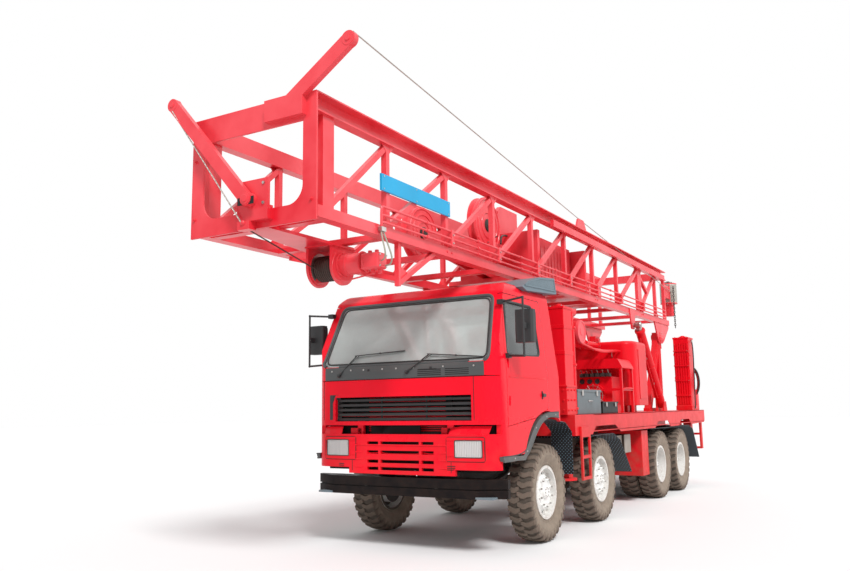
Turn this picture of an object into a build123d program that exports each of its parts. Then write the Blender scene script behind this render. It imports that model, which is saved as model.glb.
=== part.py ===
"""Truck-mounted drilling rig with its lattice mast stowed over the cab.

Millimetres. X runs forward, Y to the truck's left, Z up from the ground.
Pieces are drawn from the front axle (x = 0) and shifted once, when they are
saved, so that the part's origin is the middle of its footprint.
"""
from build123d import *
import os
from functools import lru_cache
from math import cos, hypot, pi, sin

# Overall datum: how far the front axle stands ahead of the footprint's middle
DATUM_X = 2360.0

# Fits
RUNNING = 0.5          # a shaft in its bore, all round, and a seat face
SEAT = 0.3             # a soft or curved piece beside what holds it
SHUT_GAP = 6.0         # round a door
SWING_GAP = 8.0        # beside a swinging or sliding frame

# Wheels and axles
AXLE_X = {"1": 0.0, "2": -1951.0, "3": -5073.0, "4": -6449.0}
STEERED = ("1", "2")
TYRE_R = 562.0
TYRE_W = 300.0
WHEEL_OUTER_Y = 1222.0
TWIN_PITCH = 338.0
RIM_SEAT_R = 286.0
RIM_LIP_R = 306.0
RIM_W = 236.0
RIM_WALL = 12.0
DISC_T = 16.0
HAND_HOLES = 8
HAND_HOLE_R = 30.0
DRUM_R = 205.0
HUB_R = 142.0
SPINDLE_R = 45.0
KINGPIN_Y = 862.0
KINGPIN_R = 22.0
KINGPIN_BOSS_R = 56.0
AXLE_HOUSING_R = 88.0
DIFF_R = 215.0

# Ladder frame
RAIL_OUT_Y = 425.0
RAIL_W = 85.0
RAIL_LO_Z = 850.0
RAIL_HI_Z = 1150.0
RAIL_T = 12.0
RAIL_FRONT_X = 1080.0
RAIL_REAR_X = -8330.0
CROSS_X = (1020.0, -1150.0, -2850.0, -4250.0, -5761.0, -7250.0, -8250.0)
CROSS_W = 110.0
HITCH_SPAN_Y = 160.0
HITCH_SPAN_Z = 100.0
HITCH_Z = 1000.0
HITCH_HOLE_R = 10.5

# Cab
CAB_HALF = 1235.0
CAB_FRONT_X = 1330.0
CAB_BOW = 45.0
CAB_CORNER_R = 235.0
CAB_REAR_X = -330.0
CAB_REAR_RAKE = 70.0
CAB_WALL = 42.0
CAB_SILL_Z = 1040.0
CAB_FLOOR_Z = 1510.0
CAB_FLOOR_T = 40.0
TUNNEL_HALF = 370.0
CAB_SHOULDER_Z = 1900.0
CAB_EAVE_Z = 2880.0
CAB_EAVE_HALF = CAB_HALF - 95.0
CAB_ROOF_Z = 3000.0
SCREEN_FOOT = (1300.0, 2020.0)
SCREEN_HEAD = (935.0, 2850.0)
ROOF_FRONT_X = 800.0
SCREEN_HALF_FOOT = CAB_HALF - 115.0
SCREEN_HALF_HEAD = CAB_HALF - 195.0
SCREEN_CORNER_R = 85.0
SCREEN_LO_Z = 2050.0
SCREEN_HI_Z = 2800.0
GLASS_T = 6.0
GLASS_INSET = 14.0
ARCH_R = 700.0
ARCH_CENTRE = (10.0, 800.0)
DOOR_FRONT_X = 1092.0
DOOR_REAR_X = -52.0
DOOR_TOP_Z = 2815.0
DOOR_SILL_FRONT_Z = 1345.0
DOOR_SILL_REAR_Z = 1530.0
SIDE_CUT_Y = (CAB_HALF - 155.0, CAB_HALF + 60.0)
WINDOW_SILL_Z = 2110.0
WINDOW_HEAD_Z = 2725.0
WINDOW_FRONT = (1035.0, 985.0)
WINDOW_REAR = (95.0, 190.0)
WINDOW_CORNER_R = 55.0
ROOF_R = 150.0
CAB_WIDE = (-CAB_HALF - 65.0, CAB_HALF + 65.0)

MIRROR_REACH = {"left": 255.0, "right": 160.0}

# Cab front panels: named heights from the ground
FRONT_PANEL_X = 1185.0
LOWER_PANEL_Z = (830.0, 1270.0)
UPPER_PANEL_Z = (1370.0, 1885.0)
COWL_Z = (1893.0, 2015.0)
GRILLE_Z = (1415.0, 1690.0)
GRILLE_HALF = 905.0
GRILLE_SLATS = 5
SLOT_ROWS_Z = (890.0, 970.0, 1070.0, 1170.0)
SLOT_Y = ((-440.0, -285.0), (-255.0, 255.0), (285.0, 440.0))
SLOT_H = 38.0
LAMP_Z = (1042.0, 1200.0)
LAMP_Y = (770.0, 1050.0)
LAMP_RECESS = 6.0

# Bumper
BUMPER_Z = (600.0, 800.0)
BUMPER_FRONT_X = 1330.0
BUMPER_REAR_X = 1100.0
BUMPER_SWEEP = 170.0
BUMPER_HALF = CAB_HALF + 7.0

# Deck
DECK_TOP_Z = 1440.0
DECK_PLATE_T = 20.0
DECK_FRONT_X = -906.0
DECK_REAR_X = -8440.0
SKIRT_LO_Z = 1175.0
SKIRT_HI_Z = 1280.0
SKIRT_T = 10.0
# each cut: front foot, front top, rear top, rear foot
SKIRT_CUTS = (
    (-1560.0, -1700.0, -2546.0, -2796.0),
    (-4662.0, -4877.0, -5518.0, -5669.0),
    (-6301.0, -6438.0, -7087.0, -7275.0),
)

POWER_HOUSE_X = (-5330.0, -4400.0)
POWER_HOUSE_TOP_Z = 2640.0
UNIT_X = (-4330.0, -3720.0)
UNIT_Y = (200.0, 1000.0)
CANOPY_Z = (2150.0, 2305.0)
SILENCER = (-2210.0, 2625.0, 170.0)

# Mast, lying along the truck
MAST_HALF = 750.0
MAST_LO_Z = 3185.0
MAST_HI_Z = 4310.0
MAST_FRONT_X = 3760.0
MAST_TOP_REAR_X = -7900.0
MAST_LOW_REAR_X = -7960.0
CROWN_POST_X = (3471.0, 3629.0)
POSTS_X = (2602.0, 1430.0, 238.0, -955.0, -2179.0, -3410.0, -4657.0, -6015.0, -7155.0)
WIDE_POST_X = -6015.0
WIDE_POST_W = 230.0
LOW_CHORD_W = 120.0
LOW_CHORD_H = 105.0
TOP_CHORD_H = 180.0
TOP_CHORD_W = 115.0
CHORD_T = 14.0
POST = 60.0
POST_Y = MAST_HALF - 60.0
BRACE = 56.0
CROWN_T = 24.0
CROWN_LO_Z = MAST_LO_Z - 30.0
CROWN_SIDE = 150.0
CROWN_MOUTH_Z = (MAST_LO_Z + 135.0, MAST_HI_Z - 250.0)
CROWN_CORNER_R = 170.0
PIVOT = (-7300.0, MAST_LO_Z - 285.0)
PIVOT_PIN_R = 55.0
FOOT_PLATE_T = 26.0
CRADLE_X = -560.0

# Winch under the mast's front
WINCH = (2655.0, MAST_LO_Z - 230.0)
WINCH_SHAFT_R = 40.0
WINCH_Y = (-80.0, 185.0)
WINCH_FLANGE_R = 165.0
WINCH_PLATE_T = 30.0
STRUT_X = 2400.0
STRUT_LO_Z = MAST_LO_Z - 405.0

# Rotary head and the spindle bored for the drill string
HEAD_Z = MAST_LO_Z + 515.0
QUILL_END_X = -4600.0
QUILL_BORE_R = 42.0
QUILL_BORE_L = 130.0
BLOCK_SHEAVE = (827.0, MAST_LO_Z + 450.0, 335.0)
HEAD_SHEAVE = (-925.0, MAST_HI_Z - 230.0, 400.0)
HEAD_PLATE_X = (-2000.0, -1340.0)
HEAD_PLATE_Z = (MAST_HI_Z - 430.0, MAST_HI_Z + 150.0)

# Rear winch standing on the mast's rear end: x, y, radius, lower and upper z
REAR_WINCH = (-8450.0, MAST_HALF - 100.0, 170.0, MAST_LO_Z + 505.0, MAST_LO_Z + 955.0)
RAIL_X = (-7600.0, -1550.0)
RAIL_EAR_X = (-3170.0, -2720.0)

# Raising cylinders, left and right alike
CYL_Y = MAST_HALF + 102.0
CYL_R = 80.0
CYL_FOOT = (-6590.0, 1560.0)
CYL_HEAD = (-5320.0, MAST_LO_Z - 205.0)
CYL_EYE_R = 62.0
CYL_PIN_R = 34.0
ROD_R = 50.0

# Levelling jacks: name, x middle, y middle, width along x, width along y, top
JACKS = (
    ("front", -1035.0, CAB_HALF - 210.0, 300.0, 230.0, 2850.0),
    ("rear", -7990.0, CAB_HALF - 240.0, 400.0, 300.0, 2910.0),
)
JACK_LEG = 150.0
JACK_WELL_GAP = 6.0
JACK_FOOT_Z = 610.0
JACK_FOOT_R = 150.0
JACK_STROKE = 700.0

SIDES = {"left": 1, "right": -1}


def block(x, y, z):
    """Box between two corners, each axis given as (low, high)."""
    return Pos((x[0] + x[1]) / 2, (y[0] + y[1]) / 2, (z[0] + z[1]) / 2) * Box(
        abs(x[1] - x[0]), abs(y[1] - y[0]), abs(z[1] - z[0])
    )


def along(a, b, width, depth, across=(0, 1, 0)):
    """Square-edged bar from a to b: width measured across, depth square to both."""
    start, run = Vector(*a), Vector(*b) - Vector(*a)
    plane = Plane(origin=start, x_dir=Vector(*across), z_dir=run.normalized())
    return extrude(plane * Rectangle(width, depth), run.length)


def round_bar(a, b, radius):
    """Round bar from a to b."""
    start, run = Vector(*a), Vector(*b) - Vector(*a)
    return extrude(Plane(origin=start, z_dir=run.normalized()) * Circle(radius), run.length)


def outline(points, radius=0, inset=0):
    """Face inside flat corners, set in by a wall, each corner rounded by one radius or its own."""
    face = make_face(Polyline(*points, close=True))
    if inset:
        face = offset(face, -inset)
    radii = radius if isinstance(radius, (list, tuple)) else [radius] * len(points)
    for (a, b), r in zip(points, radii):
        if r > inset:
            face = fillet(face.vertices().sort_by_distance((a, b, 0))[0], r - inset)
    return face


def side_plate(points, y, radius=0):
    """Flat plate seen from the side: (x, z) corners, between two y values."""
    plane = Plane(origin=(0, max(y), 0), x_dir=(1, 0, 0), z_dir=(0, -1, 0))
    return extrude(plane * outline(points, radius), abs(y[1] - y[0]))


def front_plate(points, x, radius=0):
    """Flat plate seen from the front: (y, z) corners, between two x values."""
    plane = Plane(origin=(min(x), 0, 0), x_dir=(0, 1, 0), z_dir=(1, 0, 0))
    return extrude(plane * outline(points, radius), abs(x[1] - x[0]))


def top_plate(points, z):
    """Flat plate seen from above: (x, y) corners, between two z values."""
    plane = Plane(origin=(0, 0, min(z)))
    return extrude(plane * make_face(Polyline(*points, close=True)), abs(z[1] - z[0]))


def both_sides(shape):
    """The shape and its mirror image across the truck's middle plane."""
    return [shape, mirror(shape, about=Plane.XZ)]


def fuse(shapes):
    """One shape from many that touch or overlap."""
    shapes = list(shapes)
    return shapes[0] if len(shapes) == 1 else shapes[0] + shapes[1:]


def save(shape, node):
    """Shift a piece to the part's own origin and write it."""
    solids = shape.solids() if hasattr(shape, "solids") else shape
    placed = [Pos(DATUM_X, 0, 0) * solid for solid in solids]
    export_step(placed[0] if len(placed) == 1 else Compound(children=placed), f"parts/{node}.step")


# Wheels

def ring(profile):
    """Solid of revolution about Y from (radius, y) corners."""
    plane = Plane(origin=(0, 0, 0), x_dir=(1, 0, 0), z_dir=(0, 0, 1))
    return revolve(plane * make_face(Polyline(*profile, close=True)), Axis.Y, 360)


def tyre(centre_y):
    """One tyre about the wheel's axis, its middle at centre_y."""
    half = TYRE_W / 2
    bead = RIM_W / 2 - RIM_WALL - SEAT
    profile = [
        (RIM_SEAT_R + SEAT, -bead), (RIM_LIP_R + 30, -bead), (TYRE_R - 130, -half),
        (TYRE_R - 55, -half + 4), (TYRE_R - 12, -half + 28), (TYRE_R, 0),
        (TYRE_R - 12, half - 28), (TYRE_R - 55, half - 4), (TYRE_R - 130, half),
        (RIM_LIP_R + 30, bead), (RIM_SEAT_R + SEAT, bead),
    ]
    return Pos(0, centre_y, 0) * ring(profile)


def rim_band(centre_y):
    """Drop-free rim band with its two lips."""
    half = RIM_W / 2
    inner = RIM_SEAT_R - RIM_WALL
    profile = [
        (inner, -half), (RIM_LIP_R, -half), (RIM_LIP_R, -half + RIM_WALL),
        (RIM_SEAT_R, -half + RIM_WALL), (RIM_SEAT_R, half - RIM_WALL),
        (RIM_LIP_R, half - RIM_WALL), (RIM_LIP_R, half), (inner, half),
    ]
    return Pos(0, centre_y, 0) * ring(profile)


def hand_holes(y, radius):
    """Round windows through a wheel disc."""
    cutters = []
    for i in range(HAND_HOLES):
        angle = 2 * pi * i / HAND_HOLES
        at = (radius * cos(angle), 0, radius * sin(angle))
        cutters.append(round_bar((at[0], y[0], at[2]), (at[0], y[1], at[2]), HAND_HOLE_R))
    return cutters


def single_wheel():
    """Steered wheel about Y: rim with a disc that bulges outwards, and a drum."""
    mid = WHEEL_OUTER_Y - TYRE_W / 2
    inner = RIM_SEAT_R - RIM_WALL
    face = WHEEL_OUTER_Y - 62
    disc = ring([
        (0, face - DISC_T), (0, face), (HUB_R + 40, face), (inner - 34, face - 46),
        (inner + 1, face - 46), (inner + 1, face - 46 - DISC_T), (inner - 38, face - 46 - DISC_T),
        (HUB_R + 36, face - DISC_T),
    ])
    hub = ring([(0, KINGPIN_Y + 95), (DRUM_R, KINGPIN_Y + 95), (DRUM_R, mid - 5),
                (HUB_R, mid + 25), (HUB_R, face - DISC_T + 1), (0, face - DISC_T + 1)])
    cap = ring([(0, face - 1), (68, face - 1), (68, face + 22), (56, face + 30), (0, face + 30)])
    spindle = round_bar((0, KINGPIN_Y, 0), (0, mid + 40, 0), SPINDLE_R + RUNNING)
    body = fuse([rim_band(mid), disc, hub, cap]) - hand_holes((face - 80, face + 20), inner - 48)
    return tyre(mid), body - spindle


def twin_wheel():
    """Driven wheel about Y: two rims, two tyres and one deep-dished disc."""
    outer = WHEEL_OUTER_Y - TYRE_W / 2
    inner_mid = outer - TWIN_PITCH
    bore = RIM_SEAT_R - RIM_WALL
    face = (outer + inner_mid) / 2
    disc = ring([(0, face - DISC_T), (0, face + DISC_T), (bore + 1, face + DISC_T),
                 (bore + 1, face - DISC_T)])
    drum = ring([(0, face - 260), (DRUM_R, face - 260), (DRUM_R, face), (0, face)])
    hub = ring([(0, face), (HUB_R, face), (HUB_R, face + 60), (105, face + 90),
                (98, face + 200), (70, face + 215), (0, face + 215)])
    spacer = ring([(bore, inner_mid + RIM_W / 2 - 1), (RIM_SEAT_R, inner_mid + RIM_W / 2 - 1),
                   (RIM_SEAT_R, outer - RIM_W / 2 + 1), (bore, outer - RIM_W / 2 + 1)])
    spindle = round_bar((0, face - 320, 0), (0, face + 40, 0), SPINDLE_R + RUNNING)
    body = fuse([rim_band(outer), rim_band(inner_mid), spacer, disc, drum, hub])
    body = body - hand_holes((face - 40, face + 40), bore - 42) - spindle
    return [tyre(outer), tyre(inner_mid)], body


def wheels():
    """All eight stations: a tyre node and a wheel node each."""
    single, twin = single_wheel(), twin_wheel()
    for number, x in AXLE_X.items():
        tyres, disc = single if number in STEERED else twin
        tyres = tyres if isinstance(tyres, list) else [tyres]
        for side, sign in SIDES.items():
            turned = [t if sign > 0 else mirror(t, about=Plane.XZ) for t in tyres + [disc]]
            placed = [Pos(x, 0, TYRE_R) * t for t in turned]
            save(Compound(children=placed[:-1]) if len(placed) > 2 else placed[0],
                 f"tyre_{number}_{side}")
            save(placed[-1], f"wheel_{number}_{side}")


def knuckle(x, sign):
    """Steering knuckle: forked round the axle's end, with pin, spindle and arm."""
    z = TYRE_R
    fork_reach = 78
    jaw = 26
    boss_half = 62
    lugs = [block((x - 48, x + 48), (KINGPIN_Y - 50, KINGPIN_Y + fork_reach),
                  (z + s * (boss_half + RUNNING), z + s * (boss_half + RUNNING + jaw)))
            for s in (1, -1)]
    back = block((x - 60, x + 60), (KINGPIN_Y + fork_reach - 18, KINGPIN_Y + fork_reach + 12),
                 (z - boss_half - jaw, z + boss_half + jaw))
    pin = round_bar((x, KINGPIN_Y, z - boss_half - jaw), (x, KINGPIN_Y, z + boss_half + jaw),
                    KINGPIN_R - RUNNING)
    spindle_end = WHEEL_OUTER_Y - TYRE_W / 2 + 36
    spindle = round_bar((x, KINGPIN_Y + fork_reach, z), (x, spindle_end, z), SPINDLE_R)
    arm = block((x - 210, x - 40), (KINGPIN_Y - 46, KINGPIN_Y - 6),
                (z - boss_half - jaw, z - boss_half - RUNNING))
    whole = fuse(lugs + [back, pin, spindle, arm])
    return whole if sign > 0 else mirror(whole, about=Plane.XZ)


def knuckles():
    for number in STEERED:
        for side, sign in SIDES.items():
            save(knuckle(AXLE_X[number], sign), f"knuckle_{number}_{side}")


def running_gear():
    """Beam axles, driven axles, leaf springs and the shafts between them."""
    pieces = []
    z = TYRE_R
    for number, x in AXLE_X.items():
        if number in STEERED:
            beam = block((x - 50, x + 50), (-KINGPIN_Y + 150, KINGPIN_Y - 150), (z - 90, z + 10))
            ends = both_sides(block((x - 50, x + 50), (KINGPIN_Y - 160, KINGPIN_Y),
                                    (z - 62, z + 62)))
            boss = both_sides(round_bar((x, KINGPIN_Y, z - 62), (x, KINGPIN_Y, z + 62),
                                        KINGPIN_BOSS_R))
            pin = both_sides(round_bar((x, KINGPIN_Y, z - 63), (x, KINGPIN_Y, z + 63),
                                       KINGPIN_R))
            pieces.append(fuse([beam] + ends + boss + spring_packs(x, z + 10)) - pin)
        else:
            face = WHEEL_OUTER_Y - TYRE_W / 2 - TWIN_PITCH / 2
            tube = round_bar((x, -(face - 262), z), (x, face - 262, z), AXLE_HOUSING_R)
            shaft = round_bar((x, -(face + 36), z), (x, face + 36, z), SPINDLE_R)
            diff = Pos(x, 0, z) * Sphere(DIFF_R)
            nose = round_bar((x, 0, z + 60), (x + 330, 0, z + 60), 95)
            pads = both_sides(block((x - 90, x + 90), (RAIL_OUT_Y - RAIL_W, RAIL_OUT_Y),
                                    (z + 40, 700.0)))
            pieces.append(fuse([tube, shaft, diff, nose] + pads))
    pieces.append(bogie_springs())
    return fuse(pieces)


def spring_packs(x, seat_z):
    """Leaf springs of a steered axle with their hangers under the rails."""
    span, rise, leaf = 720, 130, 22
    y = (RAIL_OUT_Y - RAIL_W + 6, RAIL_OUT_Y - 6)
    packs = []
    for i, share in enumerate((1.0, 0.78, 0.55)):
        half = span * share
        lift = rise * share ** 2
        base = seat_z + leaf * (2 - i)
        low = ThreePointArc((x - half, base + lift), (x, base), (x + half, base + lift))
        high = ThreePointArc((x + half, base + lift + leaf), (x, base + leaf),
                             (x - half, base + lift + leaf))
        edges = [low, Line(low @ 1, high @ 0), high, Line(high @ 1, low @ 0)]
        plane = Plane(origin=(0, y[1], 0), x_dir=(1, 0, 0), z_dir=(0, -1, 0))
        packs.append(extrude(plane * make_face(edges), y[1] - y[0]))
    top = seat_z + leaf * 2 + rise
    hangers = [block((x + s * span - 34, x + s * span + 34), y, (top, RAIL_LO_Z))
               for s in (1, -1)]
    whole = fuse(packs + hangers)
    return both_sides(whole)


def bogie_springs():
    """Two springs over the driven axles, each on its trunnion."""
    mid = (AXLE_X["3"] + AXLE_X["4"]) / 2
    half = (AXLE_X["3"] - AXLE_X["4"]) / 2 + 70
    y = (RAIL_OUT_Y - RAIL_W, RAIL_OUT_Y)
    leaf = side_plate([(mid - half, 700), (mid + half, 700), (mid + half, 735),
                       (mid + 180, 800), (mid - 180, 800), (mid - half, 735)], y)
    trunnion = block((mid - 110, mid + 110), y, (640, RAIL_LO_Z))
    return fuse(both_sides(fuse([leaf, trunnion])) + [
        block((mid - 60, mid + 60), (-RAIL_OUT_Y, RAIL_OUT_Y), (640, 720))])


def chassis_frame():
    """Two channel rails with closed cross members."""
    web = RAIL_OUT_Y - RAIL_T
    inner = RAIL_OUT_Y - RAIL_W
    profile = [(inner, RAIL_LO_Z), (RAIL_OUT_Y, RAIL_LO_Z), (RAIL_OUT_Y, RAIL_HI_Z),
               (inner, RAIL_HI_Z), (inner, RAIL_HI_Z - RAIL_T), (web, RAIL_HI_Z - RAIL_T),
               (web, RAIL_LO_Z + RAIL_T), (inner, RAIL_LO_Z + RAIL_T)]
    rails = both_sides(front_plate(profile, (RAIL_REAR_X, RAIL_FRONT_X)))
    crosses = [block((x - CROSS_W / 2, x + CROSS_W / 2), (-web, web),
                     (RAIL_LO_Z + RAIL_T, RAIL_HI_Z - RAIL_T)) for x in CROSS_X]
    cab_gap = (RAIL_HI_Z, CAB_FLOOR_Z - CAB_FLOOR_T)
    x = CROSS_X[-1]
    holes = [round_bar((x - CROSS_W, y, z), (x + CROSS_W, y, z), HITCH_HOLE_R)
             for y in (-HITCH_SPAN_Y / 2, HITCH_SPAN_Y / 2)
             for z in (HITCH_Z - HITCH_SPAN_Z / 2, HITCH_Z + HITCH_SPAN_Z / 2)]
    mounts = [block((1000, 1080), (RAIL_OUT_Y - RAIL_W, RAIL_OUT_Y), cab_gap),
              block((-380, -320), (TUNNEL_HALF + 2, RAIL_OUT_Y), cab_gap)]
    mounts = [piece for mount in mounts for piece in both_sides(mount)]
    return fuse(rails + crosses + mounts) - holes


def engine_block():
    """Engine, one plain block between the rails under the cab."""
    half = RAIL_OUT_Y - RAIL_W - 12
    mounts = both_sides(block((-480, -380), (half - 1, RAIL_OUT_Y - RAIL_T),
                              (RAIL_LO_Z + 60, RAIL_LO_Z + 180)))
    return fuse([block((-760, 430), (-half, half), (690, 1440))] + mounts)


def front_bumper():
    """Heavy bumper beam with swept ends, on two brackets from the rails."""
    outline = [(BUMPER_REAR_X, -BUMPER_HALF), (BUMPER_FRONT_X - BUMPER_SWEEP, -BUMPER_HALF),
               (BUMPER_FRONT_X, -BUMPER_HALF + 330), (BUMPER_FRONT_X, BUMPER_HALF - 330),
               (BUMPER_FRONT_X - BUMPER_SWEEP, BUMPER_HALF), (BUMPER_REAR_X, BUMPER_HALF)]
    beam = top_plate(outline, BUMPER_Z)
    groove = top_plate([(x + 400 if x > BUMPER_REAR_X else x - 50, y * 1.1) for x, y in outline],
                       (BUMPER_Z[0] + 88, BUMPER_Z[0] + 100))
    recess = top_plate([(x - 14 if x > BUMPER_REAR_X else x - 60, y * 0.988) for x, y in outline],
                       (BUMPER_Z[0] + 80, BUMPER_Z[0] + 108))
    beam = beam - (groove - recess)
    stays = both_sides(block((RAIL_FRONT_X - 180, BUMPER_REAR_X + 1),
                             (RAIL_OUT_Y - RAIL_W, RAIL_OUT_Y), (BUMPER_Z[0] + 60, RAIL_LO_Z)))
    return fuse([beam] + stays)


# Cab

def cab_plan(inset):
    """Cab seen from above, inset by a wall."""
    half, front, rear = CAB_HALF - inset, CAB_FRONT_X - inset, CAB_REAR_X - CAB_REAR_RAKE + inset
    bow = ThreePointArc((front - CAB_BOW, -half), (front, 0), (front - CAB_BOW, half))
    rest = Polyline((front - CAB_BOW, half), (rear, half), (rear, -half), (front - CAB_BOW, -half))
    face = make_face([bow, rest])
    corners = [v for v in face.vertices() if v.X > front - CAB_BOW - 5]
    return fillet(corners, CAB_CORNER_R - inset / 2)


def cab_side(inset):
    """Cab seen from the side, inset by a wall."""
    points = [(CAB_FRONT_X + 5, 700), (CAB_FRONT_X + 5, SCREEN_FOOT[1] - 60), SCREEN_FOOT,
              SCREEN_HEAD, (ROOF_FRONT_X, CAB_ROOF_Z - 45), (520, CAB_ROOF_Z),
              (CAB_REAR_X, CAB_ROOF_Z - 10), (CAB_REAR_X - CAB_REAR_RAKE, CAB_SHOULDER_Z),
              (CAB_REAR_X - CAB_REAR_RAKE, 700)]
    return outline(points, [0, 0, 0, 90, 160, 400, 110, 0, 0], inset)


def cab_front(inset):
    """Cab seen from the front, inset by a wall."""
    half = CAB_HALF + 1
    right = [(half, 700), (half, CAB_SHOULDER_Z), (CAB_EAVE_HALF - 8, CAB_ROOF_Z - 25),
             (0, CAB_ROOF_Z)]
    left = [(-y, z) for y, z in reversed(right[:-1])]
    return outline(right + left, [0, 400, ROOF_R, 0, ROOF_R, 400, 0], inset)


@lru_cache(maxsize=None)
def cab_body(inset):
    """The cab's outer form, or a smaller one inside it."""
    plan = extrude(Plane.XY.offset(600) * cab_plan(inset), 2600)
    reach = CAB_HALF + 165
    side = extrude(Plane(origin=(0, reach, 0), x_dir=(1, 0, 0), z_dir=(0, -1, 0)) * cab_side(inset),
                   2 * reach)
    front = extrude(Plane(origin=(-600, 0, 0), x_dir=(0, 1, 0), z_dir=(1, 0, 0)) * cab_front(inset),
                    2200)
    return plan & side & front


def door_cutter(grow):
    """Door outline from the side, grown or shrunk all round, one side."""
    front, rear = DOOR_FRONT_X + grow, DOOR_REAR_X - grow
    points = [(front, DOOR_SILL_FRONT_Z - grow), (250, DOOR_SILL_FRONT_Z + 85 - grow),
              (rear, DOOR_SILL_REAR_Z - grow), (rear, DOOR_TOP_Z + grow),
              (front - 95, DOOR_TOP_Z + grow), (front, WINDOW_SILL_Z + 60)]
    return side_plate(points, SIDE_CUT_Y, [0, 0, 25, 50, 60, 0])


def window_cutter(grow):
    """Door window outline from the side."""
    points = [(WINDOW_FRONT[0] + grow, WINDOW_SILL_Z - grow),
              (WINDOW_REAR[0] - grow, WINDOW_SILL_Z + 25 - grow),
              (WINDOW_REAR[0] + 30 - grow, WINDOW_HEAD_Z - 60),
              (WINDOW_REAR[1] - grow / 2, WINDOW_HEAD_Z + grow),
              (WINDOW_FRONT[1] - 40, WINDOW_HEAD_Z + grow),
              (WINDOW_FRONT[1] + grow, WINDOW_HEAD_Z - 50)]
    r = WINDOW_CORNER_R
    return side_plate(points, SIDE_CUT_Y, [r, r + 10, 0, r, r / 2, r / 2])


def screen_cutter(grow):
    """Windscreen outline from the front."""
    points = [(-SCREEN_HALF_FOOT - grow, SCREEN_LO_Z - grow),
              (SCREEN_HALF_FOOT + grow, SCREEN_LO_Z - grow),
              (SCREEN_HALF_HEAD + grow, SCREEN_HI_Z + grow),
              (-SCREEN_HALF_HEAD - grow, SCREEN_HI_Z + grow)]
    return front_plate(points, (760, 1500), SCREEN_CORNER_R)


def cab():
    """Shell, front panels, doors and panes, all cut from one hollow form."""
    outer, inner = cab_body(0), cab_body(CAB_WALL)
    floor = block((-500, 1400), CAB_WIDE, (CAB_FLOOR_Z - CAB_FLOOR_T, CAB_FLOOR_Z))
    sill = block((-600, 1400), CAB_WIDE, (600, CAB_SILL_Z))
    arch = round_bar((ARCH_CENTRE[0], CAB_WIDE[0], ARCH_CENTRE[1]),
                     (ARCH_CENTRE[0], CAB_WIDE[1], ARCH_CENTRE[1]), ARCH_R)
    back_open = block((-600, CAB_REAR_X + 60), (-CAB_HALF + CAB_WALL, CAB_HALF - CAB_WALL),
                      (600, CAB_FLOOR_Z - CAB_FLOOR_T))
    skin = outer - (inner - floor)
    tunnel = block((-500, 480), (-TUNNEL_HALF, TUNNEL_HALF), (1400, 1560))
    skin = fuse([skin, block((CAB_REAR_X - 20, 520), (-410, 410), (CAB_FLOOR_Z - 5, 1600))])
    skin = skin - tunnel - back_open
    front_zone = block((FRONT_PANEL_X, 1500), CAB_WIDE, (600, COWL_Z[1]))
    front = skin & front_zone
    skin = skin - front_zone
    skin = skin - (sill & block((-600, FRONT_PANEL_X), CAB_WIDE, (600, CAB_SILL_Z))) - arch
    doors = {}
    for side, sign in SIDES.items():
        cut = door_cutter(0)
        cut = cut if sign > 0 else mirror(cut, about=Plane.XZ)
        leaf = door_cutter(-SHUT_GAP)
        leaf = leaf if sign > 0 else mirror(leaf, about=Plane.XZ)
        window = window_cutter(0)
        window = window if sign > 0 else mirror(window, about=Plane.XZ)
        pane = window_cutter(-SEAT)
        pane = pane if sign > 0 else mirror(pane, about=Plane.XZ)
        doors[side] = ((skin & leaf) - window, pane)
        skin = skin - cut
    screen, pane = screen_cutter(0), screen_cutter(-SEAT)
    skin = skin - screen
    layer = cab_body(GLASS_INSET) - cab_body(GLASS_INSET + GLASS_T)
    rear_window = front_plate([(-620, 2150), (620, 2150), (600, 2620), (-600, 2620)],
                              (CAB_REAR_X - 200, CAB_REAR_X + 200))
    rear_pane = front_plate([(-620 + SEAT, 2150 + SEAT), (620 - SEAT, 2150 + SEAT),
                             (600 - SEAT, 2620 - SEAT), (-600 + SEAT, 2620 - SEAT)],
                            (CAB_REAR_X - 200, CAB_REAR_X + 200))
    skin = skin - rear_window
    save(skin, "cab_shell")
    save(fuse_loose([layer & pane, layer & rear_pane]), "cab_glass")
    for side in SIDES:
        leaf, glass = doors[side]
        save(leaf, f"door_{side}")
        save(layer & glass, f"door_glass_{side}")
    cab_front_parts(front)


def fuse_loose(shapes):
    """Solids that don't touch, kept apart in one node."""
    return Compound(children=[solid for shape in shapes for solid in shape.solids()])


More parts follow.
